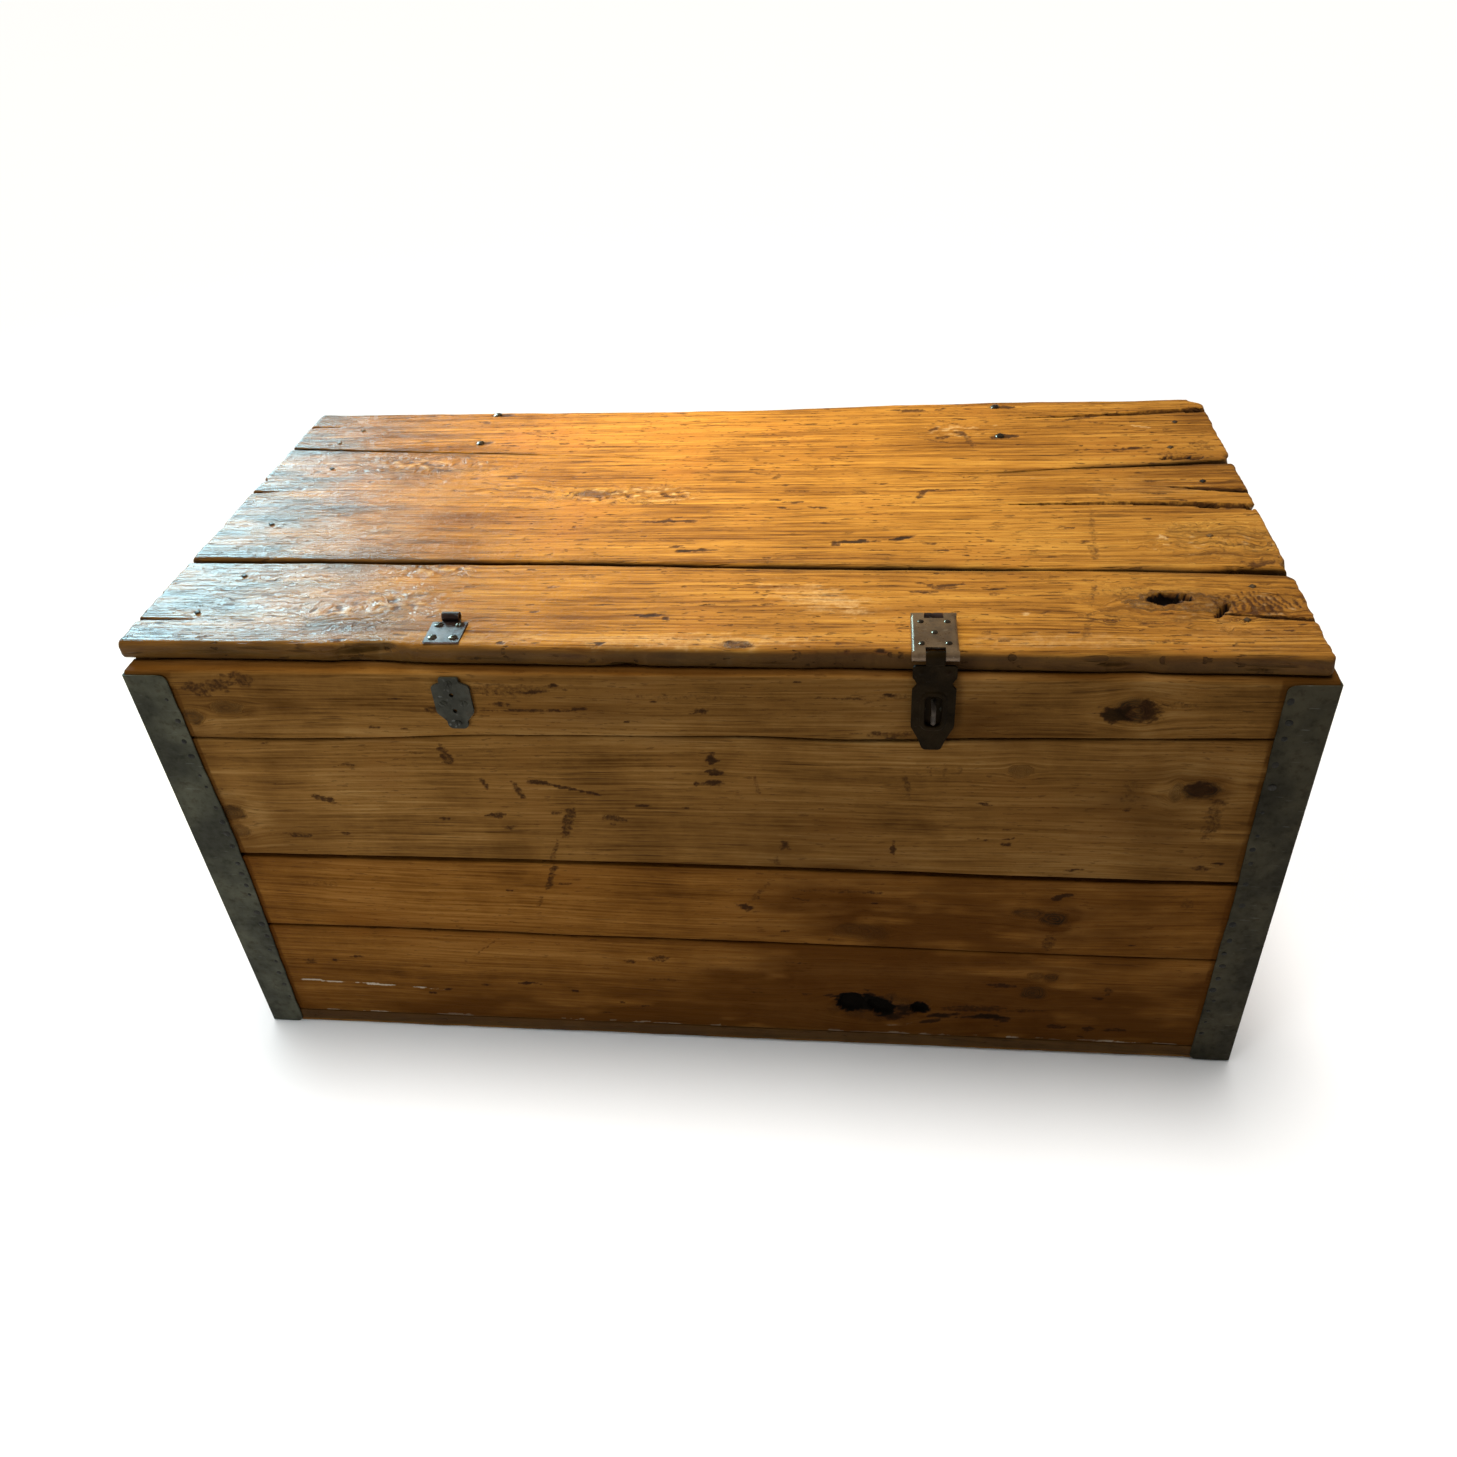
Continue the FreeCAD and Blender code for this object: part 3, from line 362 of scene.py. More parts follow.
def metalFinish(name, look):  # mottled old metal: two tones, rust in patches, fine scratches and pits
    finish, shader, put, maths, mixed, spread, noise, wire = startFinish(name)
    place = put("TexCoord").outputs["Object"]
    cloud, grit = noise(place, look["cloud"], 4.0), noise(place, metalRest["grit"], 3.0)
    mottle = noise(place, look["cloud"] * metalRest["mottle"], 4.0, metalRest["mottleRough"])
    tint = mixed(spread(cloud, *metalSteps["tone"]), look["dark"], look["light"])
    tint = mixed(spread(mottle, *metalSteps["deep"]), tint, look["deep"])
    rusty = spread(cloud, *metalSteps["rustCloud"], 0.0, look["rust"])
    rust = maths("MULTIPLY", spread(mottle, *metalSteps["rust"]), rusty)
    tint = mixed(rust, tint, look["rustTint"])
    turned = {"Vector": place, "Scale": look["scratch"], "Rotation": metalRest["scratchTurn"]}
    scratch = noise(put("Mapping", turned).outputs[0], 1.0, 2.0)
    bright = spread(scratch, *metalSteps["bright"], 0.0, look["bright"])
    wire("Base Color", mixed(bright, tint, look["glint"]))
    uneven = maths("ADD", mottle, maths("MULTIPLY", grit, metalRest["gritGloss"]))
    wire("Roughness", spread(uneven, *metalSteps["rough"], *look["rough"]))
    metal = look["metal"]
    wire("Metallic", spread(rust, *metalSteps["metal"], metal, metalRest["rustMetal"] * metal))
    shader.inputs["Specular IOR Level"].default_value = look.get("specular", metalRest["specular"])
    height = maths("ADD", mottle, maths("MULTIPLY", grit, metalRest["gritHeight"]))
    bump = {"Strength": look["bump"], "Distance": metalRest["bumpReach"], "Height": height}
    wire("Normal", put("Bump", bump).outputs[0])
    return finish


strapLook = {
    "dark": (0.019, 0.0182, 0.0115), "light": (0.049, 0.047, 0.03), "deep": (0.01, 0.0098, 0.0065),
    "rust": 0.35, "rustTint": (0.04, 0.028, 0.016), "glint": (0.16, 0.16, 0.15), "bright": 0.15,
    "scratch": (60.0, 60.0, 500.0), "cloud": 22.0, "rough": (0.5, 0.75), "metal": 0.1, "specular": 0.09,
    "bump": 0.3,
}
warmer = {
    "dark": (0.0165, 0.014, 0.008), "light": (0.041, 0.035, 0.0205), "deep": (0.0085, 0.0072, 0.0045),
    "specular": 0.06,
}
strapSteel = metalFinish("strapSteel", strapLook)
warmSteel = metalFinish("warmSteel", {**strapLook, **warmer})
plateSteel = metalFinish("plateSteel", {
    "dark": (0.06, 0.036, 0.03), "light": (0.128, 0.077, 0.066), "deep": (0.022, 0.013, 0.01), "rust": 0.7,
    "rustTint": (0.09, 0.042, 0.018), "glint": (0.4, 0.41, 0.42), "bright": 0.4,
    "scratch": (150.0, 700.0, 150.0), "cloud": 40.0, "rough": (0.3, 0.55), "metal": 0.85, "bump": 0.35,
})
darkPlate = metalFinish("darkPlate", {
    "dark": (0.0175, 0.0165, 0.0115), "light": (0.036, 0.0345, 0.025), "deep": (0.01, 0.009, 0.007),
    "rust": 0.5, "rustTint": (0.045, 0.026, 0.014), "glint": (0.16, 0.16, 0.15), "bright": 0.3,
    "scratch": (150.0, 700.0, 150.0), "cloud": 40.0, "rough": (0.4, 0.65), "metal": 0.15, "specular": 0.12,
    "bump": 0.4,
})
haspIron = metalFinish("haspIron", {
    "dark": (0.098, 0.062, 0.036), "light": (0.185, 0.122, 0.07), "deep": (0.044, 0.027, 0.015), "rust": 0.6,
    "rustTint": (0.1, 0.05, 0.022), "glint": (0.42, 0.36, 0.28), "bright": 0.4,
    "scratch": (150.0, 600.0, 150.0), "cloud": 36.0, "rough": (0.26, 0.48), "metal": 0.5, "bump": 0.35,
})
rivetIron = metalFinish("rivetIron", {
    "dark": (0.075, 0.052, 0.034), "light": (0.17, 0.125, 0.085), "deep": (0.035, 0.024, 0.015), "rust": 0.4,
    "rustTint": (0.12, 0.06, 0.026), "glint": (0.6, 0.55, 0.48), "bright": 0.3,
    "scratch": (300.0, 600.0, 300.0), "cloud": 60.0, "rough": (0.2, 0.36), "metal": 0.9, "bump": 0.25,
})
strapIron = metalFinish("strapIron", {
    "dark": (0.0056, 0.0032, 0.001), "light": (0.012, 0.007, 0.0024), "deep": (0.003, 0.0017, 0.0006),
    "rust": 0.8, "rustTint": (0.012, 0.006, 0.0025), "glint": (0.05, 0.04, 0.03), "bright": 0.2,
    "scratch": (200.0, 200.0, 500.0), "cloud": 40.0, "rough": (0.4, 0.62), "metal": 0.05, "specular": 0.025,
    "bump": 0.5,
})
hingeIron = metalFinish("hingeIron", {
    "dark": (0.03, 0.025, 0.02), "light": (0.066, 0.056, 0.046), "deep": (0.014, 0.011, 0.009), "rust": 0.8,
    "rustTint": (0.085, 0.038, 0.015), "glint": (0.3, 0.28, 0.25), "bright": 0.3,
    "scratch": (90.0, 90.0, 400.0), "cloud": 30.0, "rough": (0.42, 0.7), "metal": 0.45, "specular": 0.3,
    "bump": 0.5,
})
nailIron = metalFinish("nailIron", {
    "dark": (0.02, 0.015, 0.011), "light": (0.052, 0.04, 0.03), "deep": (0.01, 0.007, 0.005), "rust": 0.9,
    "rustTint": (0.06, 0.026, 0.01), "glint": (0.25, 0.21, 0.16), "bright": 0.35,
    "scratch": (300.0, 300.0, 300.0), "cloud": 90.0, "rough": (0.4, 0.7), "metal": 0.35, "specular": 0.3,
    "bump": 0.5,
})
lidNailIron = metalFinish("lidNailIron", {
    "dark": (0.022, 0.014, 0.009), "light": (0.14, 0.075, 0.026), "deep": (0.012, 0.008, 0.005), "rust": 0.7,
    "rustTint": (0.085, 0.036, 0.012), "glint": (0.25, 0.21, 0.16), "bright": 0.2,
    "scratch": (300.0, 300.0, 300.0), "cloud": 11.0, "rough": (0.45, 0.7), "metal": 0.2, "specular": 0.25,
    "bump": 0.5,
})
sunkIron = metalFinish("sunkIron", {
    "dark": (0.006, 0.0055, 0.004), "light": (0.016, 0.014, 0.01), "deep": (0.003, 0.003, 0.002), "rust": 0.6,
    "rustTint": (0.022, 0.014, 0.008), "glint": (0.1, 0.1, 0.09), "bright": 0.15,
    "scratch": (300.0, 300.0, 300.0), "cloud": 120.0, "rough": (0.5, 0.75), "metal": 0.1, "specular": 0.15,
    "bump": 0.5,
})
print("finishes ready")


# boards

boardNoise = {  # amount, scale along, scale across, step of the seed, layers
    "markEdge": (0.35, 90, 260, 0, 3), "markFray": (0.2, 330, 700, 9, 1), "knotEdge": (0.20, 60, 90, 40, 3),
    "knotFray": (0.10, 250, 320, 43, 1), "knotTone": (0.3, 120, 160, 44, 1), "smear": (0.7, 30, 130, 45, 3),
    "amber": (0.6, 45, 90, 48, 3), "curl": (1, 26, 44, 47, 3), "wander": (0.010, 1.6, 1, 1, 1),
    "quiver": (0.002, 6, 1, 2, 1), "dive": (0.012, 1.4, 1, 3, 1), "shiver": (0.002, 7, 1, 4, 1),
    "ring": (0.0008, 9, 40, 5, 3), "lowEdge": (1, 14, 1, 11, 3), "highEdge": (1, 14, 1, 12, 3),
    "chip": (0.3, 300, 1, 13, 1), "worn": (1, 11, 1, 14, 3), "swell": (0.30, 7, 22, 23, 3),
    "fibre": (0.16, 30, 150, 24, 3), "pitted": (1, 120, 300, 25, 1), "torn": (1, 1, 210, 27, 1),
    "tornFine": (0.6, 260, 330, 28, 1), "comb": (3.0, 34, 50, 37, 3), "crack": (0.3, 160, 1, 30, 1),
    "gouge": (0.12, 200, 500, 34, 1), "edgeDirt": (0.6, 16, 20, 31, 3), "soilAndShadeNoise": (0.55, 18, 60, 35, 3),
    "ragged": (1, 60, 60, 33, 3),
}
knotShape = {
    "flow": 4.5, "edge": (1.12, 0.84), "tone": 0.85, "found": 0.02, "smearReach": 0.9, "smear": 0.45,
    "dark": 0.6, "haloAt": 2.1, "halo": 0.55, "blend": 3, "curl": 0.011,
}
patternShift = {"along": 0.37, "across": 0.11}  # how far the grain moves for each step of the seed
markShape = {"reach": 2.2, "edge": (1.25, 0.55)}  # shares of a mark's half sizes


def markField(u, v, marks, seed, rough=1.0):
    # Each mark is an ellipse: along, across, half length, half width, turn in degrees, strength. Noise breaks
    # its edge, more where rough is larger, and the strongest mark counts where several meet.
    field = np.zeros(np.broadcast(u, v).shape)
    edge, fray = [stretched(u, v, seed, boardNoise[key]) for key in ("markEdge", "markFray")]
    ragged = rough * (edge + fray)
    for atU, atV, half, width, turn, strength in marks:
        reach = markShape["reach"] * max(half, width) * mm
        rows = np.flatnonzero(np.abs(u[:, 0] - atU * mm) < reach)
        if len(rows):
            span = slice(rows[0], rows[-1] + 1)
            du, dv = u[span] - atU * mm, v[span] - atV * mm
            c, s = np.cos(np.radians(turn)), np.sin(np.radians(turn))
            far = np.hypot((du * c + dv * s) / (half * mm), (dv * c - du * s) / (width * mm))
            field[span] = np.maximum(field[span], strength * ease(*markShape["edge"], far + ragged[span]))
    return field


def woodGrain(u, v, w, plan):
    # Growth rings are distances from a pith line that wanders beside the board. Round a knot the grain flows
    # as water flows round a post; inside a knot the rings are its own circles.
    seed, shape = plan["seed"], knotShape
    heart, circle, dark, halo = [np.zeros(v.shape) for _ in range(4)]
    across = v.copy()

    def rough(key, y=v):
        return stretched(u, y, seed, boardNoise[key])

    for atU, atV, half, width, depth in plan["knots"]:
        du, dv = (u - atU * mm) / (half / width), v - atV * mm
        far = np.hypot(du, dv) / (width * mm)
        wobble = far + rough("knotEdge") + rough("knotFray")
        fade = np.exp(-((far / shape["flow"]) ** 2))
        across = across - dv * fade / np.maximum(far, 1.0) ** 2
        inside = ease(*shape["edge"], wobble)
        heart = np.maximum(heart, inside * depth * (shape["tone"] + rough("knotTone")))
        circle = np.where(inside > shape["found"], wobble * width * mm, circle)
        smear = np.exp(-((np.maximum(wobble - 1, 0) / shape["smearReach"]) ** 2))
        smear = smear * (shape["smear"] + rough("smear"))
        dark = np.maximum(dark, shape["dark"] * depth * np.clip(smear, 0, 1))
        amber = np.exp(-((far - shape["haloAt"]) ** 2)) * (shape["halo"] + rough("amber"))
        halo = np.maximum(halo, depth * np.clip(amber, 0, 1))
    curl = markField(u, v, plan["curls"], seed + 46)
    across = across + shape["curl"] * curl * rough("curl")
    pith = plan["pith"][0] * mm + (rough("wander", 0.5) + rough("quiver", 0.5))
    deep = plan["pith"][1] * mm + rough("dive", 2.5) + rough("shiver", 2.5)
    ring = np.hypot(across - pith, w - deep) + rough("ring", across)
    knotted = np.minimum(heart * shape["blend"], 1)
    ring = np.where(heart > shape["found"], circle * knotted + ring * (1 - knotted), ring)
    grain = [u + seed * patternShift["along"] + 0 * v, ring, across + seed * patternShift["across"]]
    return np.stack(grain, -1), heart, dark, curl, halo


def faceColumns(u, low, high, plan):
    # places across the face: even between the edges, and crowded on both sides of each crack line
    step = plan["step"][1] * mm
    crowd = np.array([0.0, 0.5, 1.1, 1.9, 3.0, 4.6]) * mm
    lines = [low] + [crack["line"](u) for crack in plan["cracks"] if not crack["shared"]] + [high]
    columns = []
    for k in range(len(lines) - 1):
        first, last = lines[k], lines[k + 1]
        left = crowd if k else crowd[:1]
        right = crowd if k < len(lines) - 2 else crowd[:1]
        start, stop = first + left[-1], last - right[-1]
        count = max(int(np.ceil(np.mean(stop - start) / step)), 2)
        even = start + (stop - start) * np.linspace(0, 1, count + 1)[None, 1:-1]
        columns += [first + left[None, :], even, last - right[None, ::-1]]
        if k:
            columns[-3] = columns[-3][:, 1:]
    return np.concatenate(columns, 1)


def scattered(rng, count, along, middle, width, spray):  # marks strewn over a board
    share = spray["share"]
    return [(rng.uniform(*along), middle + width * rng.uniform(-share, share),
             rng.uniform(*spray["half"]) * (rng.uniform(*spray["longer"]) if "longer" in spray else 1),
             rng.uniform(*spray["wide"]), rng.normal(0, spray["turn"]), rng.uniform(*spray["strength"]))
            for _ in range(count)]


def untouched(u, v):
    return 0.0


boardPlan = {  # what a board has where its own plan says nothing else
    "wave": 0.5, "worn": 0.35, "sideColumns": 5, "backColumns": 20, "nicks": 0, "uneven": 1.0,
    "holeDepth": 5.0, "bed": 0.0, "dirtAndShade": 0.5, "sideShade": 0.55, "ragged": 0.8, "soilAndShade": untouched,
    "polish": untouched,
    **dict.fromkeys(("knots", "curls", "stains", "pales", "holes", "torn", "ripples", "cracks"), ()),
    **dict.fromkeys(("chips", "closed", "gouges", "endChips"), ()),
}
nickSpray = {
    "share": 0.5, "half": (2.5, 9), "longer": (0.6, 1.6), "wide": (0.9, 1.9), "turn": 7,
    "strength": (0.35, 0.85),
}
boardWear = {  # heights of the relief in millimetres, lengths of the fades in metres, edges as shares
    "arcSteps": 5, "face": (-0.006, -0.001), "sunk": 0.5, "knotSink": 0.2, "pitDepth": 0.8,
    "pitted": (0.35, 0.9), "holeEdge": (0.25, 0.8), "bedDepth": 0.55, "bedFade": 0.002,
    "tornLean": (130, 60), "tornHeight": 0.55, "curlHeight": 0.34, "curlWidth": 0.0075, "tornTroughShade": 0.75,
    "tornPale": 0.6, "combLean": 0.3, "combWidth": 0.0064, "combHeight": 0.28, "combStain": (0.32, 0.34),
    "softTop": 4, "tightJoint": (40, 20), "tightRound": 0.8, "tightClean": 0.02, "crackTaper": 0.7,
    "crackHair": 0.0004, "gougeShade": 0.8, "dirtReach": 0.0045, "dirt": 0.6, "knotDirt": 0.9,
    "side": (-0.001, -0.006), "mostDirtAndShade": 0.95, "endReach": 0.02, "chipFace": (-0.014, -0.001),
    "chipReach": 2.2, "holeRough": 0.4, "backStain": 0.25, "chipEdge": (1.0, 0.3),
    "endChipEdge": (1.0, 0.2), "crackEdge": (1.0, 0.45), "crackStart": (0.0, 0.25), "crackTip": (0.0, 0.1),
    "crackStain": (1.35, 0.6), "gougeEdge": (1.0, 0.25), "gougeReach": (0.005, 0.0),
    "gougeStain": (0.006, 0.0), "holeStain": (0.1, 0.3),
}


def boardPiece(name, plan):
    # One closed surface. The first parameter runs along the board; the second runs round its section: face,
    # round arris, side, back, side. Rows draw in at both ends to round them, and a ring closes each end.
    plan, wear = {**boardPlan, **plan}, boardWear
    seed, thick = plan["seed"], plan["thick"] * mm
    start, stop = np.array(plan["along"]) * mm
    endRound = plan["endRound"] * mm
    turns = np.linspace(np.pi / 2, 0, wear["arcSteps"])
    endRows, endInset = endRound * (1 - np.sin(turns)), endRound * (1 - np.cos(turns))
    count = int((stop - start) / (plan["step"][0] * mm))
    inner = np.linspace(start + endRound, stop - endRound, count)[1:-1]
    u = np.concatenate([start + endRows, inner, stop - endRows[::-1]])[:, None]
    inset = np.concatenate([endInset, 0 * inner, endInset[::-1]])[:, None]

    def edgeNoise(key, k=0):  # the same all the way across
        return stretched(u, 0.5, seed + k, boardNoise[key])

    low = plan["low"](u) + plan["wave"] * mm * edgeNoise("lowEdge") + inset
    high = plan["high"](u) + plan["wave"] * mm * edgeNoise("highEdge") - inset
    for edge, at, half, depth in plan["chips"]:
        far = np.abs(u - at * mm) / (half * mm) + edgeNoise("chip")
        bite = depth * mm * ease(*wear["chipEdge"], far)
        low, high = (low + bite, high) if edge == "low" else (low, high - bite)
    worn = [1 + plan["worn"] * edgeNoise("worn", k) for k in range(4)]
    lowFace, highFace, lowBack, highBack = [r * mm * k for r, k in zip(plan["radii"], worn)]
    shut = {"low": 0.0, "high": 0.0}
    outside, within = wear["tightJoint"]
    for edge, first, last in plan["closed"]:  # where a joint is tight its edges stay sharp and clean
        shut[edge] = ease(first - outside, first + within, u / mm)
        shut[edge] = shut[edge] * ease(last + outside, last - within, u / mm)
    lowFace = lowFace * (1 - wear["tightRound"] * shut["low"])
    highFace = highFace * (1 - wear["tightRound"] * shut["high"])
    face = faceColumns(u, low + lowFace, high - highFace, plan)
    quarter = np.linspace(0, np.pi / 2, wear["arcSteps"])[None, 1:]
    side = np.linspace(0, 1, plan["sideColumns"])[None, 1:]
    back = np.linspace(0, 1, plan["backColumns"])[None, 1:]
    sections = [
        (face, 0 * face),
        (high - highFace * (1 - np.sin(quarter)), -highFace * (1 - np.cos(quarter))),
        (high + 0 * side, -highFace - side * (thick - highFace - highBack)),
        (high - highBack * (1 - np.cos(quarter)), -thick + highBack * (1 - np.sin(quarter))),
        (high - highBack + back * (low + lowBack - high + highBack), -thick + 0 * back * u),
        (low + lowBack * (1 - np.sin(quarter)), -thick + lowBack * (1 - np.cos(quarter))),
        (low + 0 * side, -thick + lowBack + side * (thick - lowBack - lowFace)),
        (low + lowFace * (1 - np.cos(quarter[:, :-1])), -lowFace * (1 - np.sin(quarter[:, :-1]))),
    ]
    v = np.concatenate([across for across, _ in sections], 1)
    w = np.concatenate([np.broadcast_to(depth, across.shape) for across, depth in sections], 1)
    w = w * (1 - 2 * inset / thick) - inset
    u = np.broadcast_to(u, v.shape)
    outer = ease(*wear["face"], w)  # how far a point belongs to the face

    def field(key, step, rough=1.0, more=()):
        return markField(u, v, [*plan[key], *more], seed + step, rough)

    def rough(key):
        return stretched(u, v, seed, boardNoise[key])

    rng = np.random.default_rng(seed + 19)
    middle, wide = float(np.mean(low + high)) / 2 / mm, float(np.mean(high - low)) / mm
    nicks = scattered(rng, plan["nicks"], plan["along"], middle, wide, nickSpray)
    grain, heart, dark, curl, halo = woodGrain(u, v, w, plan)
    stainAndShade = field("stains", 20, more=nicks) * (wear["backStain"] + (1 - wear["backStain"]) * outer)
    pale, holes = field("pales", 21), field("holes", 22, wear["holeRough"])
    relief = (rough("swell") + rough("fibre")) * plan["uneven"] - wear["sunk"] - wear["knotSink"] * heart
    relief = relief - wear["pitDepth"] * ease(*wear["pitted"], stainAndShade) * rough("pitted") ** 2
    relief = relief - plan["holeDepth"] * ease(*wear["holeEdge"], holes)
    bed = plan["bed"] * mm
    if bed:  # pressed flat under the corner straps
        fromEnd = np.minimum(u - start, stop - u)
        pressed = np.minimum(relief, -wear["bedDepth"]) * ease(bed + wear["bedFade"], bed, fromEnd)
        relief = pressed + relief * ease(bed, bed + wear["bedFade"], fromEnd)
    torn, combed = field("torn", 26), field("ripples", 36)  # combed: short waves square to the grain
    leanU, leanV = wear["tornLean"]
    ripple = stretched(u * leanU + v * leanV, v, seed, boardNoise["torn"]) + rough("tornFine")
    rings = np.sin(grain[..., 1] * fullTurn / wear["curlWidth"])
    relief = relief + wear["tornHeight"] * torn * ripple + wear["curlHeight"] * curl * rings
    # painted shade in the troughs of the torn grain
    stainAndShade = np.maximum(stainAndShade, wear["tornTroughShade"] * torn * np.maximum(-ripple, 0))
    pale = np.maximum(pale, wear["tornPale"] * torn * np.clip(ripple, 0, 1))
    comb = np.sin(fullTurn * (u + wear["combLean"] * v) / wear["combWidth"] + rough("comb"))
    relief = relief + wear["combHeight"] * combed * comb
    stainAndShade = np.maximum(stainAndShade, combed * (wear["combStain"][0] + wear["combStain"][1] * comb))
    soft = wear["softTop"]
    relief = -np.logaddexp(0, -soft * relief) / soft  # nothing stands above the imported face
    gaping = np.zeros(v.shape)
    for crack in plan["cracks"]:
        tip, end = crack["tip"] * mm, crack["end"] * mm
        along = np.clip((u - tip) / (end - tip), 0, 1)
        half = 0.5 * crack["mouth"] * mm * along ** wear["crackTaper"]
        half = half * (1 + stretched(u, 0.5, seed, boardNoise["crack"]))
        half = half + wear["crackHair"] * ease(*wear["crackTip"], along)
        near = np.abs(v - crack["line"](u[:, :1])) / np.maximum(half, 1e-5)
        gone = ease(*wear["crackEdge"], near) * (along > 0)
        relief = relief - crack["depth"] * gone * ease(*wear["crackStart"], along)
        stained = ease(*wear["crackStain"], near) * (along > 0) * ease(*wear["crackTip"], along)
        gaping = np.maximum(gaping, stained)
    w = w + relief * mm * outer
    clean = wear["tightClean"]
    edgeGap = np.minimum(v - low + clean * shut["low"], high - v + clean * shut["high"])
    for edge, at, level, half, tall, depth, slant in plan["gouges"]:  # hollows in the side of a board, with painted shade in them
        far = np.hypot((u - at * mm) / (half * mm), (w - (level + slant * (u / mm - at)) * mm) / (tall * mm))
        bite = depth * mm * ease(*wear["gougeEdge"], far + stretched(u, w, seed, boardNoise["gouge"]))
        fromSide, into = (v - low, 1) if edge == "low" else (high - v, -1)
        v = v + into * bite * ease(*wear["gougeReach"], fromSide)
        hollowShade = wear["gougeShade"] * bite / (depth * mm) * ease(*wear["gougeStain"], fromSide)
        dark = np.maximum(dark, hollowShade)
    # one channel for dirt and painted shade: dirt along the face's edges, knot smears, painted shade in
    # gouges and on the sides, the plan's shade and dirt
    dirtAndShade = plan["dirtAndShade"] * np.exp(-np.maximum(edgeGap, 0) / wear["dirtReach"])
    dirtAndShade = dirtAndShade * (wear["dirt"] + rough("edgeDirt"))
    # painted shade from the plan (the lid's ends; the front's foot, right side and strap edges) with some
    # dirt, broken by noise
    soilAndShade = np.maximum(plan["soilAndShade"](u, v) * (1 + rough("soilAndShadeNoise")), 0)
    # painted shade: the sides of each board, below its face, are darkened, as on the lid's front edge
    dirtAndShade = dirtAndShade + dark * wear["knotDirt"] + plan["sideShade"] * ease(*wear["side"], w) + soilAndShade
    stainAndShade = np.maximum(np.maximum(stainAndShade, gaping), ease(*wear["holeStain"], holes))
    ragged = np.abs(plan["ragged"] * mm * stretched(v, w, seed, boardNoise["ragged"]))
    nearStart, nearStop = [ease(wear["endReach"], 0.0, gap) for gap in (u - start, stop - u)]
    uMoved = u + ragged * nearStart - ragged * nearStop
    for end, at, half, depth in plan["endChips"]:
        far = np.abs(v - at * mm) / (half * mm)
        bite = depth * mm * ease(*wear["endChipEdge"], far) * ease(*wear["chipFace"], w)
        reach = wear["chipReach"] * depth * mm
        inward = ease(reach, 0.0, u - start) if end == "start" else -ease(reach, 0.0, stop - u)
        uMoved = uMoved + bite * inward
    marks = np.stack([stainAndShade, pale, heart, np.clip(dirtAndShade, 0, wear["mostDirtAndShade"])], -1)
    glow = np.stack([halo, curl, plan["polish"](u, v) + 0 * v], -1)
    return closedPiece(name, plan["place"](uMoved, v, w), {"grain": grain, "marks": marks, "glow": glow})


def placer(axis, at, out):  # a face at a place on one axis, looking out along it; u and v run on the others
    def place(u, v, w):
        parts = [u, v]
        parts.insert(axis, at + out * w)
        return np.stack(parts, -1)

    return place


onFront, onBack = placer(1, -trunk["halfDeep"], -1), placer(1, trunk["halfDeep"], 1)
onLeft, onRight = placer(0, -trunk["halfLong"], -1), placer(0, trunk["halfLong"], 1)
onLid, underneath = placer(2, trunk["lidTop"], 1), placer(2, 0.0, -1)


def between(joint, gap, side):  # the edge of a board beside a joint line, half a gap away
    return lambda u: joint(u) + side * 0.5 * gap(u)


def layBoards(boards, common, joints, gaps):  # boards side by side, each from one joint line to the next
    joints, gaps = [[throughPoints(pairs) for pairs in lines] for lines in (joints, gaps)]
    for k, (name, plan) in enumerate(boards.items()):
        low, high = between(joints[k], gaps[k], 1), between(joints[k + 1], gaps[k + 1], -1)
        yield k, name, boardPiece(name + "_worn", {**common, **plan, "low": low, "high": high})


# front: four boards, joint lines and gaps as seen, from the bottom up
frontJoints = [
    [(-500, 18), (500, 18)],
    [(-500, 149.3), (-323, 149.8), (-160, 147.5), (38, 147.2), (172, 145.4), (358, 143.8), (500, 143.6)],
    [(-500, 246.4), (-300, 246.8), (-145, 247.2), (42, 246.4), (152, 245.4), (259, 243.2), (500, 242.3)],
    [
        (-500, 389.7), (-360, 389.2), (-176, 396.9), (-53, 398), (49, 398.8), (120, 396.2), (160, 397.2),
        (247, 400.3), (326, 401.7), (500, 404.1),
    ],
    [(-500, 461), (500, 461)],
]
frontGaps = [
    [(-500, 0.4), (500, 0.4)],
    [(-500, 2.4), (-200, 2.2), (100, 1.8), (300, 1.2), (500, 1.4)],
    [(-500, 4.2), (-200, 4.6), (100, 4.0), (300, 4.6), (500, 4.0)],
    [(-500, 1.6), (-330, 1.2), (-200, 0.5), (-40, 0.7), (60, 1.6), (130, 2.4), (300, 1.8), (500, 1.6)],
    [(-500, 0.0), (500, 0.0)],
]
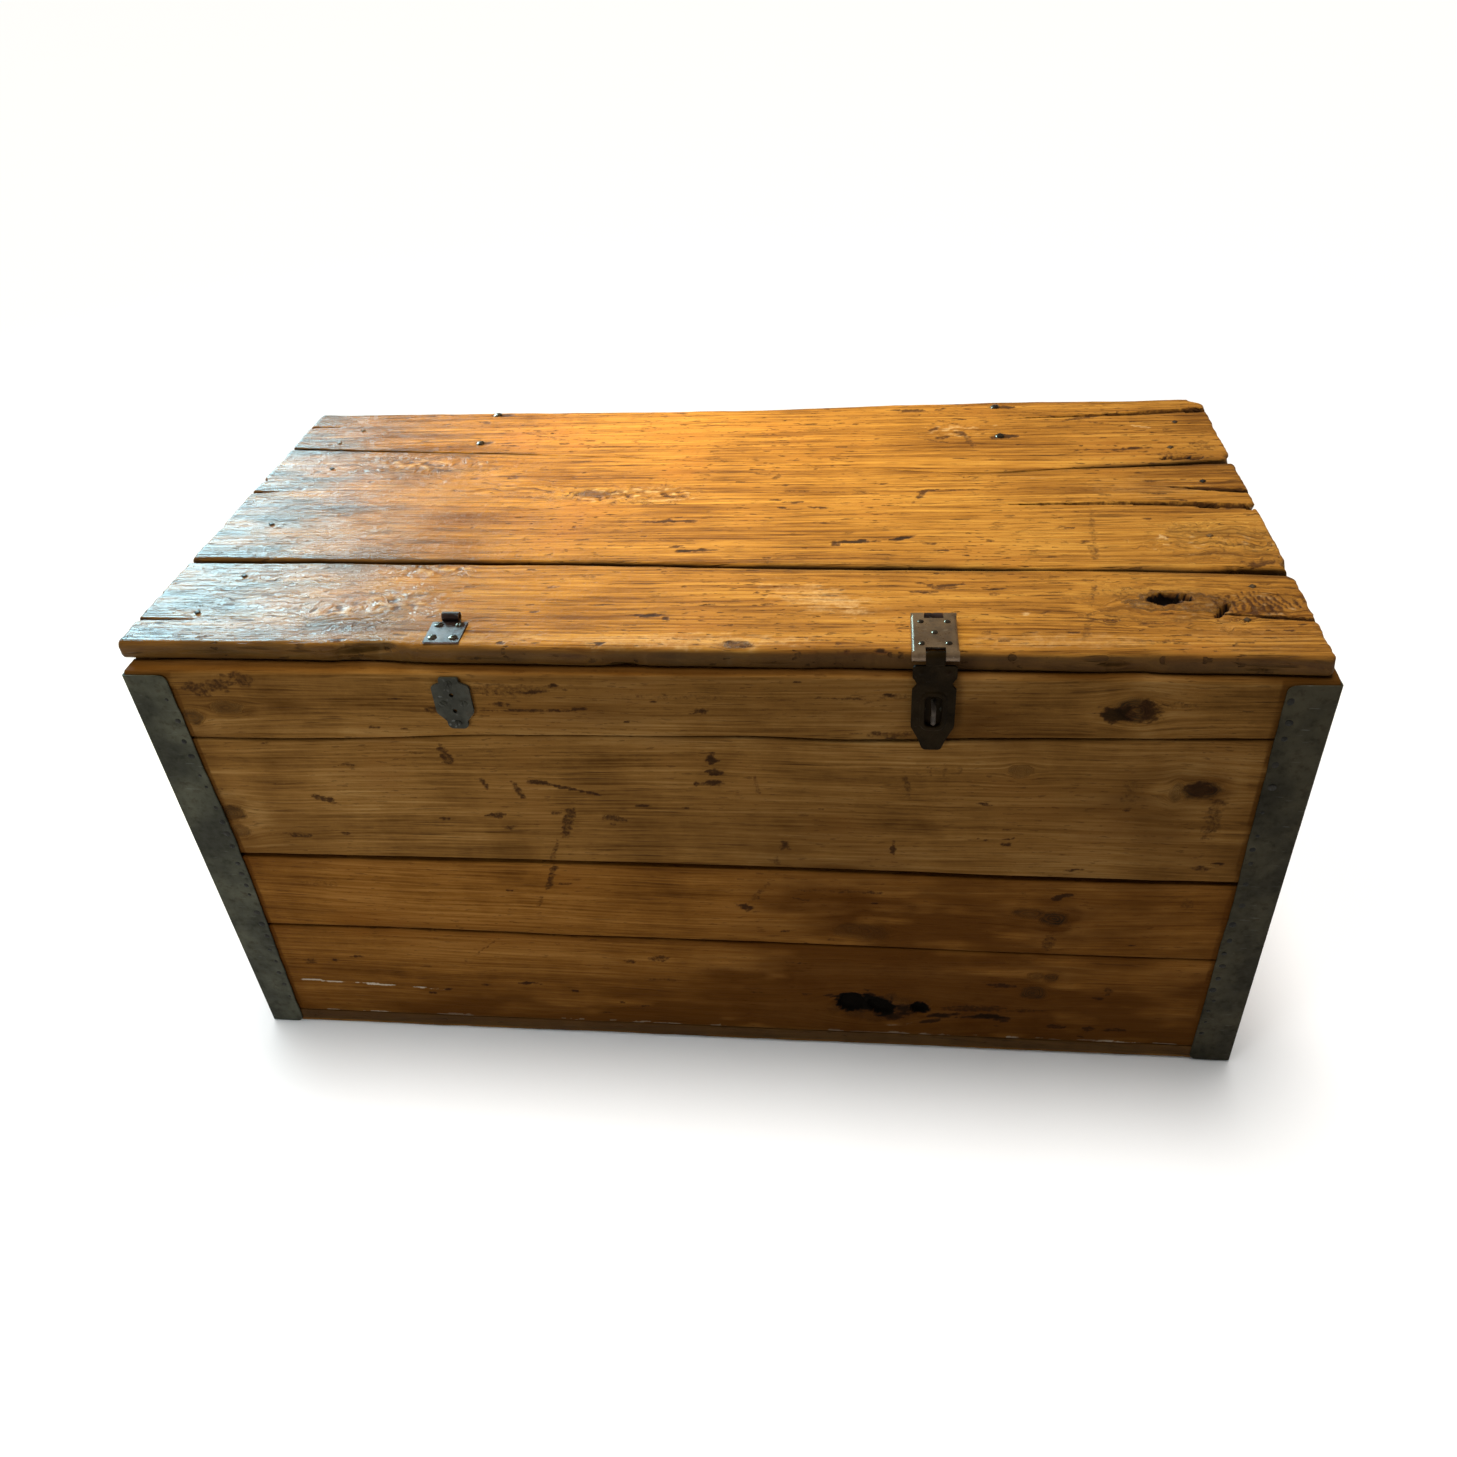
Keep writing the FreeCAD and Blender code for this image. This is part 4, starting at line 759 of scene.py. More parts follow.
frontBoards = {
    "front_board_bottom": {
        "seed": 101, "pith": (-160, -60), "holeDepth": 5.0,
        "knots": [
            (303, 88, 13, 9, 0.9), (317, 112, 7, 5, 0.7), (302, 113, 8, 5, 0.5), (150, 58, 46, 20, 0.5),
        ],
        "stains": [
            (-64, 118, 10, 6, 0, 0.5), (-250, 70, 7, 2.2, 0, 0.6), (-432, 96, 9, 5, 0, 0.45),
            (-310, 54, 5, 2, 0, 0.7), (-292, 60, 5, 2.4, 0, 0.7), (137, 67, 27, 15, -6, 1.0),
            (154, 58, 18, 11, -38, 1.0), (121, 64, 9, 13, 0, 1.0), (178, 56, 14, 9, 0, 0.85),
            (194, 60, 10, 8, 0, 1.0), (166, 46, 16, 7, -10, 0.8), (215, 50, 18, 4, 8, 0.85),
            (258, 50, 24, 4, 3, 0.9), (276, 48, 9, 6, 0, 0.7), (250, 62, 34, 5, 4, 0.5),
            (205, 40, 12, 3, 14, 0.75), (330, 40, 9, 4, 0, 0.6), (360, 38, 6, 5, 0, 0.6),
            (385, 38, 14, 3, 0, 0.5), (300, 62, 30, 3, 4, 0.4), (272, 98, 14, 3, 0, 0.65),
            (372, 96, 4, 7, 0, 0.45), (365, 84, 6, 3, 0, 0.5), (-405, 100, 6, 2.5, 0, 0.7),
            (-380, 106, 8, 2.2, 0, 0.6), (-202, 75, 12, 3, 0, 0.75), (-94, 113, 8, 4, 0, 0.55),
            (-240, 126, 22, 1.6, 42, 0.4), (-60, 88, 20, 2, 0, 0.4), (30, 74, 10, 2, 0, 0.4),
        ],
        "pales": [
            (-430, 66.5, 32, 1.0, -3, 0.9), (-370, 64, 34, 1.0, -3, 0.8), (-318, 61, 26, 0.9, -2, 0.7),
            (146, 38, 11, 1.1, -37, 0.3), (167, 31.5, 14, 1.1, 2, 0.33), (189, 38, 11, 1.1, 30, 0.3),
        ],
        "holes": [(127, 65, 14, 14, 0, 1.0), (155, 60, 16, 11, -32, 1.0), (194, 60, 9, 8, 0, 0.9)],
    },
    "front_board_lower": {
        "seed": 112, "pith": (420, -75),
        "knots": [(312, 192, 12, 9, 1.0), (288, 198, 14, 6, 0.55), (140, 168, 26, 10, 0.35)],
        "stains": [
            (-157, 228, 24, 4, 68, 0.55), (-172, 196, 14, 2.4, 68, 0.35), (26, 196, 10, 4, -30, 0.7),
            (40, 214, 20, 3.5, 55, 0.35), (110, 220, 40, 2, 0, 0.4), (148, 219, 18, 2, 0, 0.4),
            (316, 222, 10, 4, 20, 0.7), (309, 158, 12, 7, 80, 0.4), (425, 216, 6, 8, 0, 0.3),
            (-390, 210, 20, 6, 0, 0.25),
        ],
    },
    "front_board_upper": {
        "seed": 123, "pith": (120, -70),
        "knots": [
            (415, 350, 14, 9.5, 1.0), (266, 368, 9, 6, 0.3), (-453, 300, 12, 10, 0.9), (-452, 278, 9, 8, 0.5),
            (395, 348, 4, 9, 0.4),
        ],
        "stains": [
            (415, 350, 12.5, 8.2, 0, 0.72), (-130, 300, 24, 5, 72, 0.55), (-148, 262, 18, 3.2, 68, 0.4),
            (-118, 337, 40, 1.8, -14, 0.7), (-150, 345, 12, 3.0, 0, 0.7), (-88, 305, 11, 7, 0, 0.55),
            (6, 372, 5, 9, 0, 0.75), (8, 360, 8, 5, 0, 0.7), (6, 349, 10, 4, 0, 0.7), (-9, 348, 3, 5, 0, 0.6),
            (-200, 341, 3.2, 10, 20, 0.55), (-171, 336, 3.2, 12, 20, 0.55), (-197, 305, 8, 3.5, 0, 0.6),
            (-187, 290, 9, 4, 0, 0.5), (-140, 309, 6, 3, 0, 0.5), (66, 276, 6, 7, 0, 0.55),
            (58, 256, 4, 10, 0, 0.35), (163, 274, 4, 9, 0, 0.55), (-230, 376, 6, 12, 12, 0.55),
            (-355, 320, 12, 4.5, -20, 0.6), (-325, 361, 14, 2, 0, 0.5), (-392, 274, 14, 4, 0, 0.5),
            (-347, 278, 5, 3, 0, 0.5), (44, 346, 3, 13, 8, 0.35), (173, 350, 3, 16, 12, 0.4),
            (191, 367, 3, 8, 0, 0.3), (204, 366, 3, 9, 0, 0.3), (216, 367, 2.5, 8, 0, 0.3),
            (430, 320, 9, 26, 0, 0.4), (260, 301, 6, 1.8, 0, 0.6), (262, 284, 6, 2.4, 0, 0.6),
            (429, 260, 10, 4, 0, 0.5), (-480, 330, 30, 16, 0, 0.4), (360, 345, 10, 18, 0, 0.25),
            (-60, 320, 8, 1.6, 0, 0.6), (-20, 318, 4, 2, 0, 0.6), (100, 320, 3, 2, 0, 0.5),
        ],
    },
    "front_board_top": {
        "seed": 134, "pith": (640, -70), "radii": (1.6, 4.0, 1.0, 1.5),
        "knots": [(352, 431, 15, 11, 0.85), (-418, 424, 14, 6, 0.5), (-452, 413, 9, 7, 0.7)],
        "stains": [
            (336, 428, 16, 8, 0, 0.85), (362, 432, 10, 12, 10, 0.6), (-150, 424, 46, 2.0, 1, 0.6),
            (-106, 427, 10, 2, 0, 0.6), (-171, 430, 10, 3, 0, 0.5), (-229, 424, 10, 5, 0, 0.5),
            (-425, 446, 34, 9, 12, 0.5), (-395, 452, 14, 8, 0, 0.5), (-170, 446, 60, 7, 0, 0.35),
            (0, 425, 8, 4, 15, 0.55), (-5, 440, 60, 5, 0, 0.25), (120, 440, 30, 1.6, 0, 0.45),
            (170, 442, 40, 4, 0, 0.3), (160, 404, 30, 3, 0, 0.45), (383, 437, 26, 5, 0, 0.3),
        ],
    },
}
strapEdges = {  # reach of the front flange at heights, as seen on the front straps
    "front_left": throughPoints([(0, 33.5), (60, 34.5), (150, 37.5), (253, 40.5), (360, 39.4), (460, 38.6)]),
    "front_right": throughPoints([(0, 37.6), (130, 37.0), (253, 36.4), (350, 37.6), (460, 39.2)]),
    "back_left": throughPoints([(0, 37.5), (460, 38.4)]),
    "back_right": throughPoints([(0, 38.2), (460, 37.4)]),
}
shadeAndSoilPatches = [  # along, height, half length, half height and strength of each dark patch, in metres; partly dirt, partly painted shade
    (0.18, 0.08, 0.19, 0.055, 0.9), (0.2, 0.195, 0.15, 0.04, 0.8), (-0.04, 0.022, 0.26, 0.03, 1.1),
    (0.06, 0.43, 0.12, 0.03, 0.25), (0.08, 0.285, 0.1, 0.05, 0.35), (0.15, 0.13, 0.16, 0.1, 0.35),
    (0.24, 0.42, 0.06, 0.03, 0.5), (-0.09, 0.43, 0.05, 0.025, 0.3), (0.37, 0.34, 0.06, 0.05, 0.4),
    (-0.42, 0.275, 0.05, 0.05, 0.3), (-0.41, 0.425, 0.06, 0.03, 0.3),
]

frontShading = {  # painted shade at the foot and to the right, painted shadow beside the straps: for most a strength, then where it sets in and where it is full, in metres
    "foot": (0.32, 0.16, 0.03), "right": (0.26, 0.02, 0.40), "below": (0.44, 0.2),
    "strapShadow": (0.95, 0.005, 0.0025), "strapShadowFade": (0.25, 0.03, 0.0),
}


def frontShadeAndSoil(u, v):  # painted shade darker towards the foot and the right, a painted shadow beside the corner straps, dark patches partly dirt
    reach = np.where(u < 0, strapEdges["front_left"](v), strapEdges["front_right"](v))
    beside = trunk["halfLong"] - np.abs(u) - reach
    soilAndShadeNoise = faded(frontShading["foot"], v) + faded(frontShading["right"], u) * ease(*frontShading["below"], v)
    for atU, atV, half, tall, strength in shadeAndSoilPatches:
        soilAndShadeNoise = soilAndShadeNoise + strength * np.exp(-(((u - atU) / half) ** 2) - ((v - atV) / tall) ** 2)
    return soilAndShadeNoise + faded(frontShading["strapShadow"], beside) + faded(frontShading["strapShadowFade"], beside)


frontBoard = {
    "along": (-500, 500), "thick": 22, "step": (1.8, 1.8), "endRound": 1.0, "radii": (1.6, 1.6, 1.0, 1.0),
    "wave": 0.35, "dirtAndShade": 0.55, "place": onFront, "worn": 0.3, "ragged": 0.3, "nicks": 12, "bed": 42.0,
    "soilAndShade": frontShadeAndSoil,
}
footWear = {  # short pale marks along the foot; left and right give the reach and the number
    "height": 20.2, "left": (-430, 20, 12), "right": (80, 440, 34), "rise": (-0.3, 0.5), "half": (5, 22),
    "wide": (0.6, 1.1), "turn": 1, "strength": (0.7, 1.0),
}
rng = np.random.default_rng(150)
frontBoards["front_board_bottom"]["pales"] += [
    (at, footWear["height"] + rng.uniform(*footWear["rise"]), rng.uniform(*footWear["half"]),
     rng.uniform(*footWear["wide"]), rng.normal(0, footWear["turn"]), rng.uniform(*footWear["strength"]))
    for at in np.concatenate([rng.uniform(*footWear["left"]), rng.uniform(*footWear["right"])])
]
for k, name, board in layBoards(frontBoards, frontBoard, frontJoints, frontGaps):
    dress(board, "box", "box_wood", lowShadedWood if k < 2 else frontWood, name)
print("front boards ready")


# lid: three boards with open joints, split ends and worn edges
lidEdges = [
    [
        (-507.5, -231), (-343, -232), (-226, -235.4), (-80, -237.2), (51, -238.4), (241, -240.2),
        (393, -242.4), (489.5, -244),
    ],
    [(-507.5, -89), (-298, -92), (-107, -96.6), (77, -102.8), (252, -107), (420, -111), (489.5, -114.5)],
    [
        (-507.5, 163.5), (-378, 151.5), (-262, 143), (-120, 128), (0, 113), (140, 95), (266, 83), (326, 90.5),
        (423, 97), (489.5, 104),
    ],
    [(-507.5, 261), (-292, 257), (-125, 253.5), (-15, 252.5), (170, 259), (389, 261.4), (489.5, 261.5)],
]
lidGaps = [
    [(-507.5, 0), (489.5, 0)],
    [(-507.5, 7.0), (-200, 6.4), (0, 6.0), (200, 5.4), (400, 5.6), (430, 7.6), (489.5, 8.6)],
    [
        (-507.5, 5.0), (-378, 2.6), (-262, 1.4), (-130, 0.5), (140, 0.4), (240, 0.8), (326, 2.2), (423, 3.8),
        (460, 7.4), (489.5, 10.5),
    ],
    [(-507.5, 0), (489.5, 0)],
]
lidBoards = {
    "lid_board_front": {
        "seed": 201, "pith": (-10, -90), "radii": (5.6, 2.5, 2.6, 1.0), "sideColumns": 14, "holeDepth": 9.0,
        "ripples": [(458, -164, 36, 18, 0, 1.2), (432, -168, 18, 14, 0, 0.9), (345, -150, 30, 12, 0, 0.5)],
        "knots": [(394, -163, 36, 15, 0.3), (32, -229, 9, 4, 0.6)],
        "stains": [
            (246, -222, 5, 3.2, 0, 0.7), (232, -210, 9, 6, 0, 0.3), (360, -222, 16, 4, 0, 0.4),
            (-46, -185, 18, 2.4, 3, 0.85), (26, -226, 8, 3, -20, 0.8), (40, -231, 10, 2.5, 0, 0.7),
            (118, -238, 6, 3, 0, 0.9), (149, -236, 6, 2.5, 0, 0.9), (160, -234, 4, 2, 0, 0.7),
            (193, -136, 12, 3, -20, 0.6), (186, -146, 14, 2.5, 0, 0.6), (205, -140, 12, 2, 0, 0.5),
            (244, -151, 5, 4, 0, 0.5), (325, -150, 3.5, 22, -14, 0.35), (315, -196, 3.5, 26, -14, 0.35),
            (345, -250, 30, 8, 0, 0.6), (366, -195, 14, 3, 0, 0.55), (-300, -200, 16, 2, 0, 0.6),
            (-262, -170, 9, 2, 0, 0.6), (-110, -120, 14, 5, 0, 0.3), (-82, -229, 5, 3, 0, 0.9),
            (-47, -239, 4, 2.5, 0, 0.8), (-167, -229, 5, 2.6, 0, 0.9), (-310, -226, 6, 2.4, 0, 0.8),
            (-404, -152, 8, 1.6, 0, 0.7), (-380, -176, 12, 1.4, 0, 0.6),
        ],
        "pales": [
            (-230, -221, 110, 11, 0, 0.22), (-20, -224, 120, 12, 0, 0.24), (290, -222, 90, 12, 0, 0.18),
            (430, -214, 60, 28, 0, 0.12), (100, -158, 62, 23, -24, 0.21), (112, -164, 36, 13, -24, 0.29),
            (270, -182, 14, 1.4, 0, 0.5),
        ],
        "holes": [(383, -158, 14, 8.5, 6, 1.0), (399, -156, 5, 5, 0, 1.0), (425, -175, 12, 2.6, 56, 1.0)],
        "curls": [
            (-305, -172, 70, 30, 8, 1.0), (-262, -108, 46, 14, 0, 1.0), (395, -165, 80, 34, 0, 0.8),
            (455, -165, 40, 26, 0, 0.8), (-400, -150, 60, 30, 0, 0.5),
        ],
        "torn": [
            (-305, -172, 54, 20, 12, 0.85), (-262, -108, 36, 10, 0, 0.9), (395, -165, 60, 24, 0, 0.4),
            (455, -165, 30, 18, 0, 0.5),
        ],
        "endChips": [("start", -193, 4, 8), ("start", -150, 6, 3), ("stop", -118, 8, 4)],
        "chips": [
            ("low", -280, 44, 2.2), ("low", -60, 26, 1.0), ("low", 120, 30, 1.0), ("low", 345, 22, 1.8),
        ],
        "gouges": [
            ("low", -284, -6.5, 36, 4.6, 6.5, 0.09), ("low", -62, -16.5, 15, 3.0, 6.0, 0.0),
            ("low", -300, -15.0, 30, 2.4, 2.0, 0.02), ("low", -430, -10.0, 26, 1.6, 1.2, 0.03),
            ("low", 60, -12.0, 34, 1.4, 1.2, -0.02), ("low", 330, -9.0, 16, 4.0, 3.0, 0.0),
            ("low", 200, -13.5, 24, 1.4, 1.0, 0.03), ("low", -180, -11.0, 30, 1.3, 1.0, -0.02),
            ("low", 440, -12.0, 20, 2.0, 1.6, 0.02),
        ],
    },
    "lid_board_middle": {
        "seed": 214, "pith": (260, -80), "radii": (3.2, 1.6, 1.2, 1.0), "step": (2.0, 2.6),
        "knots": [(-138, 44, 15, 5, 0.6)],
        "stains": [
            (-57, -16, 24, 2.8, 4, 0.85), (-30, 76, 5, 2, 40, 0.5), (-26, -73, 22, 3.4, 6, 0.9),
            (-40, -66, 8, 2.4, 20, 0.7), (128, -58, 24, 3.6, 3, 0.92), (168, -52, 14, 3.0, 20, 0.92),
            (108, -64, 6, 3, 0, 0.7), (205, 120, 8, 5, 20, 0.7), (406, 62, 8, 3, 0, 0.5),
            (66, 22, 14, 2.4, 4, 0.8), (48, 28, 8, 2.2, 0, 0.8), (90, 10, 10, 2, -6, 0.6),
            (26, 87, 14, 2, -20, 0.5), (45, 80, 8, 4, 60, 0.5), (205, 128, 9, 6, 30, 0.7),
            (209, 112, 18, 2, -24, 0.6), (232, 92, 24, 2, -20, 0.5), (187, 35, 3, 16, -24, 0.7),
            (192, 44, 12, 2, 12, 0.7), (257, 24, 8, 3, 0, 0.6), (225, 46, 26, 1.6, 2, 0.6),
            (118, 42, 24, 1.4, -4, 0.7), (60, 46, 20, 1.2, 4, 0.6), (340, -40, 3.5, 46, -5, 0.35),
            (336, -78, 4, 18, -3, 0.4), (330, -60, 5, 4, 0, 0.5), (-140, -40, 26, 2, 0, 0.4),
            (100, -20, 18, 2, 0, 0.6), (-230, 40, 40, 1.6, 3, 0.35), (-330, 108, 22, 5, -10, 0.3),
            (-400, 40, 16, 2, 0, 0.5), (-420, -10, 40, 1.4, 0, 0.55), (-470, 64, 12, 3, 0, 0.6),
            (195, -62, 10, 3, 0, 0.5), (150, -74, 12, 2, 0, 0.5), (-90, 26, 10, 4, 0, 0.5),
            (470, -100, 16, 6, 0, 0.6),
        ],
        "pales": [
            (405, 46, 70, 28, 0, 0.12), (-60, 30, 30, 2.0, 6, 0.4), (400, -52, 6, 2.5, -50, 0.6),
            (300, 70, 16, 1.2, 0, 0.3),
        ],
        "closed": [("high", -160, 235)],
        "ripples": [(458, -62, 26, 22, 0, 0.45)],
        "curls": [
            (-112, 42, 75, 20, 3, 1.0), (-345, 114, 90, 26, -6, 1.0), (212, 112, 60, 34, 0, 0.7),
            (445, -60, 60, 34, 0, 0.8), (-240, 60, 70, 22, 0, 0.4),
        ],
        "torn": [
            (-100, 42, 62, 14, 3, 1.0), (-130, 44, 26, 12, 0, 1.0), (-345, 114, 66, 15, -6, 0.9),
            (212, 112, 44, 22, 0, 0.6), (440, -62, 50, 26, 0, 0.5),
        ],
        "endChips": [
            ("start", 56, 4, 7), ("start", 84, 6, 5), ("start", -20, 8, 3), ("stop", 10, 6, 6),
            ("stop", -100, 12, 5),
        ],
        "chips": [("low", 470, 40, 3.5)],
    },
    "lid_board_back": {
        "seed": 227, "pith": (60, -70), "radii": (1.6, 5.0, 1.0, 3.0), "holeDepth": 4.0,
        "holes": [(448, 111, 22, 3.0, 2, 0.9)],
        "stains": [
            (-284, 246, 14, 5, 0, 0.8), (-286, 170, 12, 5, 0, 0.75), (-262, 170, 22, 1.4, 2, 0.6),
            (280, 246, 14, 5, 0, 0.8), (280, 169, 16, 5.5, 0, 0.85), (404, 135, 16, 3.0, 4, 0.8),
            (384, 132, 20, 2.0, 0, 0.6), (215, 168, 12, 4, 20, 0.6), (232, 178, 9, 6, -30, 0.7),
            (205, 190, 8, 3, 40, 0.6), (362, 213, 36, 3.0, 18, 0.6), (384, 197, 20, 2.4, -20, 0.5),
            (240, 160, 4, 20, 14, 0.5), (225, 205, 20, 2, -30, 0.5), (205, 160, 14, 3, -20, 0.5),
            (-230, 190, 34, 1.6, -22, 0.5), (60, 190, 26, 1.6, 2, 0.5), (180, 240, 18, 3, 0, 0.7),
            (-160, 240, 14, 2, 0, 0.5), (-380, 190, 14, 5, 0, 0.3), (-350, 250, 10, 2, 0, 0.7),
            (445, 120, 26, 8, 0, 0.35), (470, 140, 14, 14, 0, 0.35), (0, 215, 40, 1.4, 0, 0.35),
        ],
        "pales": [(420, 190, 14, 2, -20, 0.4)],
        "torn": [(-380, 200, 50, 10, -14, 0.35), (230, 185, 40, 24, 0, 0.6)],
        "closed": [("low", -160, 235)],
        "endChips": [("start", 221, 4, 8), ("stop", 112, 10, 5), ("stop", 260, 15, 11)],
    },
}


def split(pairs, *ends):  # one crack line, with a crack from a tip to each end: tip, end, mouth, depth
    line = throughPoints([(-600, pairs[0][1]), *pairs, (600, pairs[-1][1])])
    keys = ("tip", "end", "mouth", "depth")
    return [{"line": line, "shared": k > 0, **dict(zip(keys, end))} for k, end in enumerate(ends)]


lidSplits = {
    "lid_board_front": split(
        [(-507.5, -193), (-400, -193), (433, -181.5), (489.5, -188.5)],
        (418, 495, 5.5, 9.0), (-452, -507.5, 3.0, 9.0)),
    "lid_board_middle": split(
        [(-507.5, 10), (200, 14), (317, 15), (427, 13), (489.5, 6)], (260, 495, 9.5, 13.0)) + split(
        [(-507.5, 56), (200, 54), (440, 46), (489.5, 39)], (418, 495, 8.0, 6.0), (-478, -507.5, 4.0, 9.0)),
    "lid_board_back": split(
        [(-507.5, 222), (200, 216), (340, 218), (414, 223), (489.5, 230.5)],
        (290, 495, 9.5, 13.0), (-470, -507.5, 3.6, 9.0)),
}


# painted shade on the lid's ends: strength, where it sets in and where it is full, and the lean of the left
# fade
lidEndShading = {"left": (0.62, -0.06, -0.36), "leftLean": 0.45, "right": (0.04, 0.34, 0.49)}
lidRub = {"left": (0.1, -0.3), "lean": 0.35}
lidFront = 0.2  # leaning fades turn about a line this far in front of the middle


def lidEndShade(u, v):  # painted shade: darker at both ends, most at the left
    leaning = u + lidEndShading["leftLean"] * (v + lidFront)
    return faded(lidEndShading["left"], leaning) + faded(lidEndShading["right"], u)


def lidPolish(u, v):  # rubbed smooth at the left, further along the front than the back
    return ease(*lidRub["left"], u + lidRub["lean"] * (v + lidFront))


lidBoard = {
    "along": (-510.2, 495), "thick": 18, "step": (2.0, 2.2), "endRound": 4.0, "wave": 0.5, "dirtAndShade": 0.9,
    "place": onLid, "uneven": 1.3, "worn": 0.4, "ragged": 1.6, "nicks": 90, "soilAndShade": lidEndShade,
    "polish": lidPolish, "sideShade": 0.95,
}
lidBoards = {name: {**plan, "cracks": lidSplits[name]} for name, plan in lidBoards.items()}
for k, name, board in layBoards(lidBoards, lidBoard, lidEdges, lidGaps):
    dress(board, "lid", "lid_wood", lidWood, name)
print("lid boards ready")


# back, ends and bottom: the same wood, plainer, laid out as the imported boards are
wallPlan = {
    "thick": 22, "step": (4.5, 4.0), "endRound": 1.0, "radii": (1.6, 1.6, 1.0, 1.0), "wave": 0.4, "bed": 40.0,
    "knotCount": 3, "stainCount": 14, "nicks": 30, "backColumns": 16, "ragged": 0.3, "gap": 2.0,
    "along": (-500, 500), "reach": (18.2, 461),
}
endPlan = {
    **wallPlan, "along": (-227.8, 227.8), "joints": ((0.3, 0.315), (0.61, 0.6)), "bed": 18.0, "knotCount": 2,
    "stainCount": 8,
}
upward = ("bottom", "middle", "top")
walls = {  # joints are shares of the reach at the start and the stop of the boards
    "back_board": (upward, {
        **wallPlan, "seed": 301, "place": onBack, "joints": ((0.335, 0.35), (0.655, 0.64))}),
    "left_end_board": (upward, {**endPlan, "seed": 401, "place": onLeft}),
    "right_end_board": (upward, {**endPlan, "seed": 501, "place": onRight}),
    "bottom_board": (("front", "middle", "back"), {
        **wallPlan, "seed": 601, "place": underneath, "thick": 18, "bed": 0.0, "sideShade": 0.9,
        "radii": (2.0, 2.0, 1.2, 1.2), "reach": (-250, 250), "joints": ((0.35, 0.34), (0.69, 0.68))}),
}
stainSpray = {"share": 0.45, "half": (5, 30), "wide": (1.6, 4.0), "turn": 12, "strength": (0.3, 0.7)}
pithSpray = {"across": (-0.4, 0.4), "deep": (-80, -50)}
knotSpray = {"inset": 60, "across": (-0.35, 0.35), "half": (8, 15), "wide": (6, 9), "depth": (0.5, 1.0)}
hingeNotches = {"back_board_top": [("high", at, 44, 3.6) for at in (-291, 273)]}  # worn under the hinges


def plainBoards(wall, places, plan):  # boards side by side; pith, knots and stains come from the seed
    run, (low, high), gap = plan["along"], plan["reach"], plan["gap"]
    joints = [low + np.array(pair) * (high - low) for pair in plan["joints"]]
    edges = [np.array([low, low]), *joints, np.array([high, high])]
    for k, place in enumerate(places):
        name, seed = wall + "_" + place, plan["seed"] + 17 * k
        lowEdge = edges[k] + (0.5 * gap if k else 0)
        highEdge = edges[k + 1] - (0.5 * gap if k < len(places) - 1 else 0)
        rng = np.random.default_rng(seed)
        middle, width = float(np.mean(lowEdge + highEdge) / 2), float(np.mean(highEdge - lowEdge))
        pith = (middle + width * rng.uniform(*pithSpray["across"]), rng.uniform(*pithSpray["deep"]))
        inner = run[0] + knotSpray["inset"], run[1] - knotSpray["inset"]
        knots = [(rng.uniform(*inner), middle + width * rng.uniform(*knotSpray["across"]),
                  *[rng.uniform(*knotSpray[key]) for key in ("half", "wide", "depth")])
                 for _ in range(plan["knotCount"])]
        stains = scattered(rng, plan["stainCount"], run, middle, width, stainSpray)
        lines = [throughPoints(list(zip(run, edge))) for edge in (lowEdge, highEdge)]
        yield name, {**plan, "seed": seed, "low": lines[0], "high": lines[1], "pith": pith, "knots": knots,
                     "stains": stains, "chips": hingeNotches.get(name, ())}


for wall, (places, wallBoard) in walls.items():
    for name, plan in plainBoards(wall, places, wallBoard):
        finish = footWood if wall == "bottom_board" else plainWood
        dress(boardPiece(name + "_worn", plan), "box", "box_wood", finish, name)
print("other boards ready")


# ironwork

def cornerArc(before, corner, after, radius, steps):  # the arc of a radius that touches both runs at a corner
    back, onward = [(way - corner) / np.linalg.norm(way - corner) for way in (before, after)]
    half = 0.5 * np.arccos(np.clip(back @ onward, -1, 1))
    middle = corner + (back + onward) / np.linalg.norm(back + onward) * radius / np.sin(half)
    start, stop = [corner + way * radius / np.tan(half) - middle for way in (back, onward)]
    turn = np.linspace(0, 1, steps)[:, None]
    arc = start * (1 - turn) + stop * turn
    return middle + arc / np.linalg.norm(arc, axis=1, keepdims=True) * radius


def evenPoints(line, step, closed):  # points a step apart along a line of short runs
    far = np.concatenate([[0], np.cumsum(np.linalg.norm(np.diff(line, axis=0), axis=1))])
    count = int(far[-1] / step)
    even = np.linspace(0, far[-1], count if closed else count + 1, endpoint=not closed)
    return np.stack([np.interp(even, far, column) for column in line.T], -1)


def roundedOutline(corners, step=0.5):  # a closed line with an arc at each (across, up, radius) corner
    spots = np.array(corners, float)[:, :2]
    around = zip(np.roll(spots, 1, 0), spots, np.roll(spots, -1, 0), corners)
    arcs = [cornerArc(before, spot, after, corner[2], 9) for before, spot, after, corner in around]
    return evenPoints(np.concatenate(arcs + [arcs[0][:1]]), step, True)


def bendPath(points, radius, step):  # straight runs joined by arcs
    points = np.array(points, float)
    arcs = [cornerArc(*three, radius, 13) for three in zip(points, points[1:], points[2:])]
    return evenPoints(np.concatenate([points[:1], *arcs, points[-1:]]), step, False)


def mirrored(corners):  # one side of an outline, then the other side back to the start
    return corners + [(-x, y, radius) for x, y, radius in reversed(corners)]


barNoise = (0.02, 0.12, 1.3, 0, 3)


